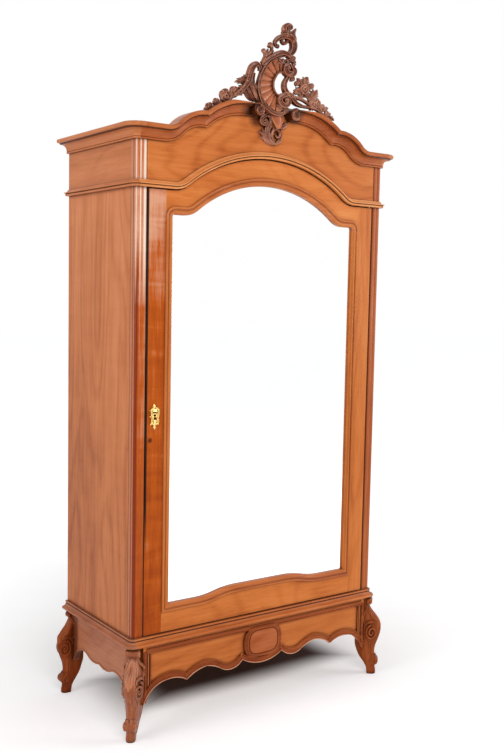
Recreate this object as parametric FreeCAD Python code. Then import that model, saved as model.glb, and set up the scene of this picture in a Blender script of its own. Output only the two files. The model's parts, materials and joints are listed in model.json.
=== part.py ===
import FreeCAD, Part
import math
import os

# Bonnetiere: a tall single-door wardrobe with a mirrored door, arched cornice and carved crest.
# Millimetres. +Z is up, the door faces -Y, the origin is on the floor under the middle of the box.

os.makedirs("parts", exist_ok=True)
V = FreeCAD.Vector

# Carcass
carcass_width = 1100.0
carcass_depth = 516.0
post_width = 41.5
post_depth = 46.0
post_side = 34.0
post_corner_radius = 9.0
corner_reed_side = 19.0
corner_reed_front = 4.6
middle_reed = 15.4
reed_depth = 1.6
side_groove = 2.0
side_thickness = 18.0
back_thickness = 12.0
rear_post_size = 40.0
front_rail_depth = 24.0
board_thickness = 18.0
frieze_thickness = 22.0
shelf_setback = 60.0
shelf_count = 3
cleat_size = 18.0

# Heights from the floor
apron_top_z = 319.0
base_moulding_height = 35.0
frieze_bottom_z = 1898.0
cornice_bottom_z = 2054.0
cornice_height = 50.0

# Arch over the door: flat shoulder, concave fillet, wide arc
arch_shoulder = 104.0
arch_rise = 137.0
arch_fillet = 90.0

# Mouldings round the carcass: how far each stands out
architrave_height = 24.0
architrave_overhang = 20.0
cornice_overhang = 50.0
base_overhang = 23.5

# Broken arch of the cornice
cornice_end_flat = 99.0
cornice_fillet = 110.0
hump_radius = 106.0
hump_rise = 64.0
hump_cusp_inset = 18.0
cornice_overrun = 30.0
upper_arch_half_span = 120.0
upper_arch_rise = 124.0
volute_radius = 22.0
volute_eye_radius = 8.0
volute_eye_height = 5.0
volute_inset = 38.0
volute_drop = 10.0

# Base: aprons and legs
base_step = 14.0
apron_thickness = 22.0
apron_field_depth = 5.0
apron_border = 24.0
apron_low_z = 165.0
# Front scallops from the leg to the notch by the middle: share of half the length, share of the height
apron_scallops = [(1.0, -0.338), (0.914, 0.039), (0.816, 0.143), (0.73, 0.136), (0.654, 0.026),
                  (0.566, 0.188), (0.488, 0.237), (0.418, 0.175), (0.371, 0.097), (0.293, 0.01),
                  (0.18, 0.172)]
side_apron_low_z = 174.0
side_apron_inset = 17.0
# Side scallops from the front leg to the middle: share of the length, share of the height
side_scallops = [(0.0, -0.331), (0.1, 0.041), (0.3, 0.048), (0.38, 0.0), (0.5, 0.055)]
boss_half_width = 62.0
boss_half_height = 47.0
boss_corner_radius = 30.0
boss_centre_z = 243.0
boss_ring = 9.0
boss_proud = 3.0
rear_rail_height = 100.0
leg_block = 52.0
leg_width = 46.0
leg_step = 16.0
leg_side_step = 10.0
rear_leg_step = 18.0
knee_reach = 43.0
knee_z = 190.0
calf_reach = 33.0
calf_z = 145.0
thigh_reach = 30.0
thigh_z = 232.0
ankle_z = 58.0
ankle_scroll_radius = 19.0
top_scroll_radius = 13.0
heel_rise = 36.0
leg_root_depth = 68.0
leg_root_z = 125.0
leg_hollow_depth = 47.0
leg_hollow_z = 71.0
rosette_radius = 25.0
front_rosette_reach = -5.0
rear_rosette_reach = 8.0
rosette_z = 174.0
rosette_proud = 4.0
foot_length = 36.0
heel = -15.0

# Door
door_gap = 3.0
door_top_gap = 4.0
door_thickness = 28.0
door_edge_radius = 3.0
top_lip_thickness = 14.0
top_rebate = 10.0
stile_width = 71.5
bottom_rail_height = 70.0
top_rail_height = 53.0
mirror_arch_shoulder = 74.0
mirror_arch_rise = 125.0
mirror_arch_fillet = 62.0
mirror_corner_radius = 36.0
mirror_joint_drop = 8.0
bottom_wave_rise = 22.0
bottom_wave_flat = 145.0
bottom_wave_plateau = 110.0
mirror_moulding_width = 28.0
mirror_moulding_proud = 6.0
mirror_setback = 10.0
mirror_thickness = 6.0
mirror_play = 1.0
backboard_flange = 14.0
backboard_flange_thickness = 6.0

# Pivots: a fixed pin in a plate on the door, below and above
pivot_inset = 9.0
pivot_setback = 7.0
pivot_pin_radius = 3.0
pivot_clearance = 0.05
pivot_bore_play = 0.5
pivot_pin_length = 10.0
pivot_plate_length = 34.0
pivot_plate_width = 11.0
pivot_plate_thickness = 3.0
pivot_collar_radius = 5.0
pivot_collar_play = 0.1

# Lock, escutcheon and strike
lock_height_z = 1127.0
lock_case_width = 52.0
lock_case_height = 76.0
lock_case_depth = 16.0
lock_wall = 2.0
lock_flange = 12.0
lock_edge_setback = 1.0
bolt_length = 38.0
bolt_height = 22.0
bolt_thickness = 8.0
bolt_throw = 12.0
bolt_play = 0.25
strike_play = 1.5
strike_thickness = 2.0
strike_height = 64.0
mortise_depth = bolt_throw + strike_thickness
keyhole_inset = 35.5
keyhole_radius = 4.0
key_slot_width = 4.0
key_slot_drop = 11.0
escutcheon_width = 44.0
escutcheon_height = 92.0
escutcheon_thickness = 2.5
escutcheon_waist = 15.0

# Screws and pins
screw_head_radius = 3.2
screw_radius = 1.5
screw_length = 14.0
pin_radius = 1.0
pin_head_radius = 1.8
pin_length = 9.0
backboard_screws_a_side = 4

# Crest
crest_thickness = 34.0
crest_scroll_thickness = 24.0
spray_thickness = 22.0
spray_setback = 12.0
pendant_thickness = 26.0

# Places worked out from the sizes above
half_width = carcass_width / 2
nose_radius = leg_width / 2
nose_reach = knee_reach - nose_radius
knee_overhang = leg_step + nose_reach * math.sqrt(0.5) + nose_radius
front = -(carcass_depth + knee_overhang) / 2 + knee_overhang
back = front + carcass_depth
floor_z = apron_top_z + base_moulding_height
carcass_top_z = cornice_bottom_z + cornice_height
bay_half = half_width - post_width
inner_half = half_width - side_thickness
door_half = bay_half - door_gap
door_bottom_z = floor_z + door_gap
door_top_z = frieze_bottom_z - door_top_gap
door_back = front + door_thickness
opening_half = door_half - stile_width
opening_bottom_z = door_bottom_z + bottom_rail_height
opening_top_z = door_top_z - top_rail_height
base_half = half_width + base_step
base_front = front - base_step
side_apron_half = base_half - side_apron_inset
pivot_x = door_half - pivot_inset
pivot_y = front + pivot_setback
key_x = -(door_half - keyhole_inset)
bolt_y = door_back + lock_case_depth / 2
volute_x = upper_arch_half_span - volute_inset


def save(name, shape):
    """Writes one piece, or one group of like fasteners, to its own file."""
    shape.exportStep("parts/" + name + ".step")


def block(x0, x1, y0, y1, z0, z1):
    """A rectangular board between two corners."""
    return Part.makeBox(x1 - x0, y1 - y0, z1 - z0, V(x0, y0, z0))


def mirrored(shape):
    """The same piece on the other side of the middle plane."""
    return shape.mirror(V(0, 0, 0), V(1, 0, 0))


def line(a, b):
    return Part.LineSegment(a, b).toShape()


def arc(a, middle, b):
    return Part.Arc(a, middle, b).toShape()


def flat(points, y):
    """Points (x, z) on the upright plane at that y."""
    return [V(x, y, z) for x, z in points]


def polygon_edges(points):
    return [line(a, b) for a, b in zip(points, points[1:])]


def slab(edges, y0, y1):
    """The closed outline of edges, drawn on the plane y0, made solid as far as y1."""
    wire = Part.Wire(Part.__sortEdges__(edges))
    return Part.Face(wire).extrude(V(0, y1 - y0, 0))


def cylinder_y(x, z, radius, y0, y1):
    return Part.makeCylinder(radius, y1 - y0, V(x, y0, z), V(0, 1, 0))


def cylinder_z(x, y, radius, z0, z1):
    return Part.makeCylinder(radius, z1 - z0, V(x, y, z0), V(0, 0, 1))


def arc_between(centre, radius, a0, a1, y):
    """Arc about an (x, z) centre from angle a0 to angle a1, and its first point."""
    def at(a):
        return V(centre[0] + radius * math.cos(a), y, centre[1] + radius * math.sin(a))
    return arc(at(a0), at((a0 + a1) / 2), at(a1)), at(a0)


class Arch:
    """Flat shoulders, concave fillets and one wide arc, symmetric about the middle plane."""

    def __init__(self, half, shoulder, flat_z, rise, fillet):
        self.half = half
        self.foot_x = half - shoulder
        self.flat_z = flat_z
        self.fillet = fillet
        span = (self.foot_x ** 2 + rise ** 2) / (2 * rise)
        self.radius = span - fillet
        self.centre_z = flat_z + rise - self.radius
        self.turn = math.atan2(self.foot_x, flat_z + fillet - self.centre_z)

    def edges(self, half, offset, y):
        """Edges from -half to +half of the line that lies offset above the arch."""
        fillet = self.fillet - offset
        radius = self.radius + offset
        z = self.flat_z + offset
        foot = (self.foot_x, self.flat_z + self.fillet)
        quarter = math.pi / 2
        right, low = arc_between(foot, fillet, -quarter, -quarter - self.turn, y)
        crown = arc_between((0, self.centre_z), radius, quarter + self.turn, quarter - self.turn, y)[0]
        left = right.mirror(V(0, 0, 0), V(1, 0, 0))
        low_left = V(-low.x, y, low.z)
        return [line(V(-half, y, z), low_left), left, crown, right, line(low, V(half, y, z))]


class CorniceLine:
    """One half of the cornice's line: end flat, fillet, hump, cusp, upper arch."""

    def __init__(self):
        self.fillet_x = half_width - cornice_end_flat
        hump_top = cornice_bottom_z + hump_rise
        self.hump_z = hump_top - hump_radius
        drop = cornice_bottom_z + cornice_fillet - self.hump_z
        side = math.sqrt((hump_radius + cornice_fillet) ** 2 - drop ** 2)
        self.hump_x = self.fillet_x - side
        self.turn = math.atan2(side, drop)
        cusp_x = self.hump_x - hump_cusp_inset
        cusp_z = self.hump_z + math.sqrt(hump_radius ** 2 - hump_cusp_inset ** 2)
        self.crown_z = cornice_bottom_z + upper_arch_rise
        along = cusp_x - upper_arch_half_span
        down = self.crown_z - cusp_z
        self.arch_radius = (along ** 2 + down ** 2) / (2 * down)
        self.arch_z = self.crown_z - self.arch_radius

    def cusp(self, offset):
        """Point (x, z) where the hump and the upper arch, both raised by offset, meet."""
        r0 = hump_radius + offset
        r1 = self.arch_radius + offset
        dx = upper_arch_half_span - self.hump_x
        dz = self.arch_z - self.hump_z
        gap = math.hypot(dx, dz)
        along = (r0 ** 2 - r1 ** 2 + gap ** 2) / (2 * gap)
        across = math.sqrt(r0 ** 2 - along ** 2)
        x = self.hump_x + (along * dx + across * dz) / gap
        z = self.hump_z + (along * dz - across * dx) / gap
        return x, z

    def top_at(self, x):
        """Height of the cornice's top edge that far from the middle, as far out as the hump."""
        arch = self.arch_radius + cornice_height
        hump = hump_radius + cornice_height
        over_arch = max(x - upper_arch_half_span, 0)
        on_arch = self.arch_z + math.sqrt(arch ** 2 - over_arch ** 2)
        return max(on_arch, self.hump_z + math.sqrt(max(hump ** 2 - (x - self.hump_x) ** 2, 0)))

    def upper_edges(self, inner_x, offset, overrun, y):
        """Edges from inner_x on the crown to the cusp, or past it by an angle, raised by offset."""
        cusp_x, cusp_z = self.cusp(offset)
        quarter = math.pi / 2
        turn = math.atan2(cusp_z - self.arch_z, cusp_x - upper_arch_half_span) - overrun
        upper, start = arc_between((upper_arch_half_span, self.arch_z), self.arch_radius + offset,
                                   quarter, turn, y)
        return [line(V(inner_x, y, start.z), start), upper]

    def lower_edges(self, outer_x, offset, overrun, y):
        """Edges from the cusp, or past it by an angle, over the hump out to outer_x, raised by offset."""
        cusp_x, cusp_z = self.cusp(offset)
        quarter = math.pi / 2
        turn = math.atan2(cusp_z - self.hump_z, cusp_x - self.hump_x) + overrun
        hump = arc_between((self.hump_x, self.hump_z), hump_radius + offset,
                           turn, quarter - self.turn, y)[0]
        foot = (self.fillet_x, cornice_bottom_z + cornice_fillet)
        fillet, low = arc_between(foot, cornice_fillet - offset, -quarter, -quarter - self.turn, y)
        return [hump, fillet, line(low, V(outer_x, y, low.z))]


door_arch = Arch(bay_half, arch_shoulder, frieze_bottom_z, arch_rise, arch_fillet)
mirror_arch = Arch(opening_half, mirror_arch_shoulder, opening_top_z, mirror_arch_rise,
                   mirror_arch_fillet)
cornice_line = CorniceLine()


def architrave_profile():
    """Section as (outward, up): a bead, a groove and a thin lip under a cove."""
    top = architrave_height
    out = architrave_overhang
    bead = (out * 0.65, top * 0.37)
    lip = (out, top * 0.54)
    neck = (out * 0.2, top)
    return [(0, 0), (out * 0.65, 0), Round((out * 0.78, top * 0.19), bead), (out, top * 0.42), lip,
            Round((out * 0.45, top * 0.68), neck), (0, top)]


def cornice_profile():
    """Section as (outward, up): bead and fillet, deep cove, thin fillet, overhanging torus."""
    top = cornice_height
    out = cornice_overhang
    cove_foot = (out * 0.2, top * 0.18)
    cove_head = (out * 0.68, top * 0.6)
    return [(0, 0), (out * 0.16, 0), Round((out * 0.21, top * 0.06), (out * 0.16, top * 0.12)),
            (out * 0.2, top * 0.15), cove_foot, Round((out * 0.32, top * 0.48), cove_head),
            (out * 0.74, top * 0.62), (out * 0.74, top * 0.67), (out * 0.8, top * 0.7),
            Round((out, top * 0.85), (out * 0.84, top)), (0, top)]


def base_profile():
    """Section as (outward, up): full lip, cove, groove and a small bead on top."""
    top = base_moulding_height
    out = base_overhang
    lip = (out * 0.85, top * 0.4)
    cove = (out * 0.34, top * 0.68)
    return [(0, 0), (out * 0.62, 0), (out * 0.8, top * 0.08), Round((out, top * 0.25), lip),
            Round((out * 0.5, top * 0.5), cove), (out * 0.26, top * 0.7), (out * 0.26, top * 0.75),
            Round((out * 0.4, top * 0.88), (out * 0.26, top)), (0, top)]


def mirror_profile():
    """Section as (outward, in from the opening's edge): outer bead, groove, wide inner bead."""
    wide = mirror_moulding_width
    out = mirror_moulding_proud
    rear = -mirror_setback
    return [(rear, 0), (out * 0.2, 0), Round((out, wide * 0.16), (out * 0.4, wide * 0.34)),
            (out * 0.3, wide * 0.41), Round((out * 0.85, wide * 0.66), (0, wide * 0.95)),
            (-out * 0.3, wide), (rear, wide)]


class Round:
    """A rounded stretch of a section: it runs through one point to another."""

    def __init__(self, through, end):
        self.through = through
        self.end = end


def section_wire(profile, place):
    """The closed section, with place giving where each (outward, up) point lies."""
    edges = []
    at = place(*profile[0])
    for step in profile[1:] + profile[:1]:
        if isinstance(step, Round):
            after = place(*step.end)
            edges.append(arc(at, place(*step.through), after))
        else:
            after = place(*step)
            edges.append(line(at, after))
        at = after
    return Part.Wire(edges)


def side_run(profile, z):
    """Moulding along the right side, round the front corner and up to the front run."""
    def along_side(o, u):
        return V(half_width + o, back, z + u)
    length = carcass_depth - post_corner_radius
    straight = Part.Face(section_wire(profile, along_side)).extrude(V(0, -length, 0))
    corner_y = front + post_corner_radius

    def at_corner(o, u):
        return V(half_width + o, corner_y, z + u)
    axis = V(half_width - post_corner_radius, corner_y, 0)
    corner = Part.Face(section_wire(profile, at_corner)).revolve(axis, V(0, 0, 1), -90)
    return straight.fuse(corner).removeSplitter()


def front_run(profile, z):
    """Straight moulding across the front, between the two rounded corners."""
    end = half_width - post_corner_radius

    def across(o, u):
        return V(-end, front - o, z + u)
    return Part.Face(section_wire(profile, across)).extrude(V(2 * end, 0, 0))


def swept(section, edges):
    """A section carried along a path on the front plane, upright to the path all the way."""
    shell = Part.BRepOffsetAPI.MakePipeShell(Part.Wire(Part.__sortEdges__(edges)))
    shell.setBiNormalMode(V(0, 1, 0))
    shell.add(section)
    shell.build()
    shell.makeSolid()
    return shell.shape()


def sweep(profile, edges, start_x, start_z):
    """A moulding along a path on the front plane that starts level at the point given."""
    def placed(o, u):
        return V(start_x, front - o, start_z + u)
    return swept(section_wire(profile, placed), edges)


def screw(x, y, z, direction):
    """Countersunk wood screw whose flat head lies at (x, y, z), driven along direction."""
    taper = screw_head_radius - screw_radius
    head = Part.makeCone(screw_head_radius, screw_radius, taper, V(x, y, z), direction)
    shank = Part.makeCylinder(screw_radius, screw_length, V(x, y, z), direction)
    return head.fuse(shank)


def driven_into(piece, fasteners):
    """The piece with a hole for each fastener that goes into it."""
    return piece.cut(fasteners)


# Base


def leg(rosette_reach):
    """Cabriole leg in its own frame: the knee points along +X, the foot stands on the origin."""
    half = leg_width / 2
    y = -half
    toe = heel + foot_length
    root = -leg_root_depth
    ankle_top = V(toe * 0.8, y, ankle_z + ankle_scroll_radius)
    knee = V(knee_reach, y, knee_z)
    neck = V(-top_scroll_radius, y, apron_top_z - 2 * top_scroll_radius)
    shank = V(heel * 1.2, y, heel_rise)
    low_root = V(root, y, leg_root_z)
    edges = [line(V(toe, y, 0), V(toe, y, ankle_z)),
             line(V(toe, y, ankle_z), ankle_top),
             arc(ankle_top, V(calf_reach, y, calf_z), knee),
             arc(knee, V(thigh_reach, y, thigh_z), neck),
             line(neck, V(neck.x, y, apron_top_z)),
             line(V(neck.x, y, apron_top_z), V(root, y, apron_top_z)),
             line(V(root, y, apron_top_z), low_root),
             arc(low_root, V(-leg_hollow_depth, y, leg_hollow_z), shank),
             line(shank, V(heel, y, 0)),
             line(V(heel, y, 0), V(toe, y, 0))]
    body = slab(edges, -half, half)
    ankle = cylinder_y(toe, ankle_z, ankle_scroll_radius, -half, half)
    scroll = cylinder_y(neck.x, apron_top_z - top_scroll_radius, top_scroll_radius, -half, half)
    round_nose = cylinder_z(nose_reach, 0, nose_radius, 0, apron_top_z)
    straight = block(root, nose_reach, -half, half, 0, apron_top_z)
    rounded = body.fuse([ankle, scroll]).common(straight.fuse(round_nose))
    proud = half + rosette_proud
    rosette = cylinder_y(rosette_reach, rosette_z, rosette_radius, -proud, proud)
    return rounded.fuse(rosette).removeSplitter()


def leg_block_at(y0):
    """Block at the right-hand end of the frame, which the aprons run into."""
    return block(base_half - leg_block, side_apron_half, y0, y0 + leg_block, leg_root_z, apron_top_z)


def front_leg():
    """The leg turned to point out of the right front corner, with its block."""
    shape = leg(front_rosette_reach)
    shape.rotate(V(0, 0, 0), V(0, 0, 1), -45)
    shape.translate(V(half_width + leg_side_step, front - leg_step, 0))
    return shape.fuse(leg_block_at(base_front)).removeSplitter()


def rear_leg():
    """The right rear leg points sideways, so that its back is flush with the back."""
    shape = leg(rear_rosette_reach)
    shape.translate(V(half_width + rear_leg_step, back - nose_radius - rosette_proud, 0))
    return shape.fuse(leg_block_at(back - leg_block)).removeSplitter()


def wave(points):
    """Arcs through every second point: ends and cusps at even places, crests between."""
    return [arc(points[i], points[i + 1], points[i + 2]) for i in range(0, len(points) - 2, 2)]


def apron_line(half, y, raise_by):
    """Scalloped lower edge of the front apron, raised by so much, and its right end."""
    low = apron_low_z + raise_by
    tall = apron_top_z - apron_low_z
    points = flat([(half * share, low + tall * rise) for share, rise in apron_scallops], y)
    right = wave(points)
    left = [e.mirror(V(0, 0, 0), V(1, 0, 0)) for e in right]
    notch = points[-1]
    middle = arc(notch, V(0, y, low), V(-notch.x, y, notch.z))
    return right + [middle] + left, points[0]


def apron_slab(half, raise_by, y0, y1):
    """Board from the scalloped edge, raised by so much, up to the base moulding."""
    edges, corner = apron_line(half, y0, raise_by)
    top = V(half, y0, apron_top_z)
    other = V(-half, y0, apron_top_z)
    rim = [line(corner, top), line(top, other), line(other, V(-half, y0, corner.z))]
    return slab(edges + rim, y0, y1)


def rounded_rectangle(cx, cz, half_x, half_z, radius, y):
    corner = math.sqrt(0.5) * radius
    edges = []
    for sx, sz in ((1, 1), (-1, 1), (-1, -1), (1, -1)):
        hx = cx + sx * (half_x - radius)
        hz = cz + sz * (half_z - radius)
        side = V(hx + sx * radius, y, hz)
        mid = V(hx + sx * corner, y, hz + sz * corner)
        end = V(hx, y, hz + sz * radius)
        edges.append(arc(side, mid, end))
    for sz in (1, -1):
        z = cz + sz * half_z
        edges.append(line(V(cx - half_x + radius, y, z), V(cx + half_x - radius, y, z)))
    for sx in (1, -1):
        x = cx + sx * half_x
        edges.append(line(V(x, y, cz - half_z + radius), V(x, y, cz + half_z - radius)))
    return edges


def boss(grow, y0, y1):
    """Rounded square in the middle of the apron, made larger all round by grow."""
    return slab(rounded_rectangle(0, boss_centre_z, boss_half_width + grow, boss_half_height + grow,
                                  boss_corner_radius + grow, y0), y0, y1)


def front_apron(legs):
    """Scalloped board with sunk fields, a raised border and a raised ring in the middle."""
    half = base_half - leg_block
    y = base_front
    sunk = y + apron_field_depth
    board = apron_slab(half, 0, y, y + apron_thickness)
    field_half = half - apron_border
    frame = block(-field_half, field_half, y, sunk, 0, apron_top_z - apron_border)
    field = apron_slab(half, apron_border, y, sunk).common(frame).cut(boss(boss_ring, y, sunk))
    ring = boss(0, y, y - boss_proud).cut(boss(-boss_ring, y, y - boss_proud))
    return board.cut(field).fuse(ring).cut(legs)


def side_apron(legs):
    """Plain scalloped board under the right side."""
    y0 = base_front + leg_block
    length = back - leg_block - y0

    def at(share, z):
        return V(side_apron_half, y0 + share * length, z)
    low = side_apron_low_z
    tall = apron_top_z - low
    first = [at(share, low + tall * rise) for share, rise in side_scallops]
    second = [at(1 - share, low + tall * rise) for share, rise in reversed(side_scallops)]
    edges = wave(first) + wave(second)
    edges.append(line(second[-1], at(1, apron_top_z)))
    edges.append(line(at(1, apron_top_z), at(0, apron_top_z)))
    edges.append(line(at(0, apron_top_z), first[0]))
    wire = Part.Wire(Part.__sortEdges__(edges))
    return Part.Face(wire).extrude(V(-apron_thickness, 0, 0)).cut(legs)


def back_panel(legs):
    """Back of the carcass, which runs down between the rear legs as a rail."""
    inner = base_half - leg_block
    y0 = back - back_thickness
    board = block(-inner_half, inner_half, y0, back, apron_top_z, carcass_top_z)
    rail = block(-inner, inner, y0, back, apron_top_z - rear_rail_height, apron_top_z)
    return board.fuse(rail).removeSplitter().cut(legs)


# Carcass


def post_section(z):
    """Right front post: two reeds on the front, a third round the corner, a rebate for the side."""
    sunk = front + reed_depth
    a = V(bay_half, sunk, z)
    c = V(half_width - corner_reed_front, sunk, z)
    b = V(c.x - middle_reed, sunk, z)
    d = V(half_width - reed_depth, front + corner_reed_side, z)
    e = V(half_width, d.y, z)
    corner = V(half_width - reed_depth / 2, front + corner_reed_side / 2, z)
    rim = [d, e, V(half_width, front + post_side, z), V(inner_half, front + post_side, z),
           V(inner_half, front + post_depth, z), V(bay_half, front + post_depth, z), a]
    edges = [arc(a, V((a.x + b.x) / 2, front, z), b),
             arc(b, V((b.x + c.x) / 2, front, z), c),
             arc(c, corner, d)]
    return Part.Face(Part.Wire(Part.__sortEdges__(edges + polygon_edges(rim))))


def front_post():
    return post_section(apron_top_z).extrude(V(0, 0, carcass_top_z - apron_top_z))


def side_panel():
    """Right side, with a shadow groove where it meets the post."""
    y0 = front + post_side
    board = block(inner_half, half_width, y0, back, apron_top_z, frieze_bottom_z)
    return board.cut(block(half_width - side_groove, half_width, y0, y0 + side_groove,
                           floor_z, frieze_bottom_z))


def frieze_side():
    return block(inner_half, half_width, front + post_side, back, frieze_bottom_z, carcass_top_z)


def rear_post():
    y1 = back - back_thickness
    return block(inner_half - rear_post_size, inner_half, y1 - rear_post_size, y1, apron_top_z, carcass_top_z)


def frieze_front():
    """Board over the door: its lower edge is the arch, its upper edge follows the cornice."""
    y = front
    lower = door_arch.edges(bay_half, 0, y)
    right = cornice_line.upper_edges(0, cornice_height, 0, y)
    right += cornice_line.lower_edges(bay_half, cornice_height, 0, y)
    left = [e.mirror(V(0, 0, 0), V(1, 0, 0)) for e in right]
    ends = [line(V(s * bay_half, y, frieze_bottom_z), V(s * bay_half, y, carcass_top_z)) for s in (1, -1)]
    return slab(lower + right + left + ends, y, y + frieze_thickness)


def floor_board(z, y0, posts):
    """A board of the inside, from y0 to the back, notched round the rear posts."""
    return block(-inner_half, inner_half, y0, back - back_thickness, z, z + board_thickness).cut(posts)


def shelf_levels():
    clear = frieze_bottom_z - floor_z
    return [floor_z + clear * (i + 1) / (shelf_count + 1) for i in range(shelf_count)]


def cleats():
    """Two battens under each shelf, one on each side panel."""
    y0 = front + shelf_setback
    y1 = back - back_thickness - rear_post_size
    right = [block(inner_half - cleat_size, inner_half, y0, y1, z - cleat_size, z) for z in shelf_levels()]
    return Part.makeCompound(right + [mirrored(b) for b in right])


# Mouldings


def architrave_front():
    path = door_arch.edges(half_width - post_corner_radius, 0, front)
    return sweep(architrave_profile(), path, -(half_width - post_corner_radius), frieze_bottom_z)


def cornice_mitre():
    """Space on the inner side of the mitre where the upper arch and the hump meet."""
    low_x, low_z = cornice_line.cusp(0)
    high_x, high_z = cornice_line.cusp(cornice_height)
    lean = (high_x - low_x) / (high_z - low_z)
    drop = cornice_height
    foot = (low_x - lean * drop, low_z - drop)
    head = (high_x + lean * drop, high_z + drop)
    points = flat([(0, foot[1]), foot, head, (0, head[1]), (0, foot[1])], front - 2 * cornice_overhang)
    return slab(polygon_edges(points), front - 2 * cornice_overhang, front + cornice_overhang)


def cornice_crown(mitre):
    """Upper arch of the cornice, right of the middle, from its volute to the mitre."""
    overrun = cornice_overrun / hump_radius
    edges = cornice_line.upper_edges(volute_x, 0, overrun, front)
    run = sweep(cornice_profile(), edges, volute_x, cornice_line.crown_z)
    volute_z = cornice_line.crown_z + cornice_height - volute_radius - volute_drop * 0.5
    face_y = front - cornice_overhang
    scroll = cylinder_y(volute_x, volute_z, volute_radius, face_y + volute_eye_height, front)
    eye = cylinder_y(volute_x, volute_z, volute_eye_radius, face_y, front)
    return run.common(mitre).fuse([scroll, eye])


def cornice_hump(mitre):
    """Lower hump and end of the cornice, from the mitre to the right front corner."""
    outer_x = half_width - post_corner_radius
    overrun = cornice_overrun / hump_radius
    edges = cornice_line.lower_edges(outer_x, 0, overrun, front)
    return sweep(cornice_profile(), edges, outer_x, cornice_bottom_z).cut(mitre)


# Door


def stile():
    """Right stile, full height, with softened outer corners so that it can swing past the post."""
    shape = block(opening_half, door_half, front, door_back, door_bottom_z, door_top_z)
    sharp = [e for e in shape.Edges if abs(e.BoundBox.XMin - door_half) < 0.01
             and abs(e.BoundBox.XMax - door_half) < 0.01 and e.BoundBox.ZLength > door_thickness
             and e.BoundBox.YMax < front + 0.01]
    shape = shape.makeFillet(door_edge_radius, sharp)
    rebate = block(opening_half, door_half, front + top_lip_thickness, door_back,
                   door_top_z - top_rebate, door_top_z)
    return shape.cut(rebate)


def bottom_wave(y, offset):
    """Lower edge of the mirror opening, raised by offset: flat, S-curve, plateau, S-curve, flat."""
    half = opening_half - offset
    x0 = opening_half - bottom_wave_flat
    x1 = bottom_wave_plateau
    low = opening_bottom_z + offset
    high = low + bottom_wave_rise
    run = x0 - x1
    radius = (run ** 2 + bottom_wave_rise ** 2) / (4 * bottom_wave_rise)
    turn = math.asin(run / 2 / radius)
    bend = radius * math.sin(turn / 2)
    sag = radius * (1 - math.cos(turn / 2))
    foot = V(x0, y, low)
    middle = V((x0 + x1) / 2, y, (low + high) / 2)
    crown = V(x1, y, high)
    right = [line(V(half, y, low), foot), arc(foot, V(x0 - bend, y, low + sag), middle),
             arc(middle, V(x1 + bend, y, high - sag), crown)]
    left = [e.mirror(V(0, 0, 0), V(1, 0, 0)) for e in right]
    return right + [line(crown, V(-crown.x, y, crown.z))] + left


def opening_top(inset, foot_z, y):
    """Upper outline of the mirror opening, drawn inwards by inset, from foot_z round both corners."""
    half = opening_half - inset
    radius = mirror_corner_radius - inset
    top_z = opening_top_z - inset
    centre = (half - radius, top_z - radius)
    right, low = arc_between(centre, radius, 0, math.pi / 2, y)
    rise = line(V(half, y, foot_z), low)
    right_end = [right, rise]
    left_end = [e.mirror(V(0, 0, 0), V(1, 0, 0)) for e in right_end]
    return left_end + mirror_arch.edges(half - radius, -inset, y) + right_end


def opening_edges(inset, y):
    """Outline of the mirror opening, drawn inwards by inset, with its two round top corners."""
    return opening_top(inset, opening_bottom_z + inset, y) + bottom_wave(y, inset)


def opening_slab(inset, y0, y1):
    return slab(opening_edges(inset, y0), y0, y1)


def top_rail():
    """Arched rail between the stiles, with a rebated upper edge behind."""
    def band(offset, y0, y1):
        upper = door_arch.edges(opening_half, -door_top_gap - offset, y0)
        z = door_top_z - offset
        ends = [line(V(s * opening_half, y0, z), V(s * opening_half, y0, foot_z)) for s in (1, -1)]
        base = line(V(-opening_half, y0, foot_z), V(opening_half, y0, foot_z))
        return slab(upper + ends + [base], y0, y1)
    foot_z = opening_top_z - mirror_corner_radius
    lip = front + top_lip_thickness
    whole = band(0, front, lip).fuse(band(top_rebate, lip, door_back)).removeSplitter()
    return whole.cut(opening_slab(0, front, door_back))


def bottom_rail():
    board = block(-opening_half, opening_half, front, door_back, door_bottom_z,
                  opening_bottom_z + bottom_wave_rise)
    return board.cut(opening_slab(0, front, door_back))


def mirror_lengths():
    """The moulding round the mirror: an arched length with both corners, two uprights, a lower length."""
    half = opening_half
    low = opening_bottom_z
    joint_z = opening_top_z - mirror_corner_radius - mirror_joint_drop
    profile = mirror_profile()

    def on_side(o, u):
        return V(-half + u, front - o, low)

    def at_joint(o, u):
        return V(-half + u, front - o, joint_z)

    def at_end(o, u):
        return V(-half, front - o, low + u)
    upright = Part.Face(section_wire(profile, on_side)).extrude(V(0, 0, joint_z - low))
    arched = swept(section_wire(profile, at_joint), opening_top(0, joint_z, front))
    waved = swept(section_wire(profile, at_end), bottom_wave(front, 0))
    arm = mirror_moulding_width * 4
    y0 = front - door_thickness
    corner = flat([(-half - arm, low - arm), (-half + arm, low + arm), (-half + arm, low - arm),
                   (-half - arm, low - arm)], y0)
    under = slab(polygon_edges(corner), y0, door_back)
    side = upright.cut(under)
    left_end = block(-half, -half + arm, y0, door_back, low, low + arm)
    ends = left_end.cut(under)
    lower = waved.cut(Part.makeCompound([ends, mirrored(ends)]))
    return {"left": side, "right": mirrored(side), "top": arched, "bottom": lower}


def backboard():
    """Fielded panel: it fills the opening behind the glass and laps over the frame's back."""
    field = opening_slab(mirror_play, front + mirror_setback + mirror_thickness, door_back)
    lap = opening_slab(-backboard_flange, door_back, door_back + backboard_flange_thickness)
    return field.fuse(lap).removeSplitter()


# Lock and pivots


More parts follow.
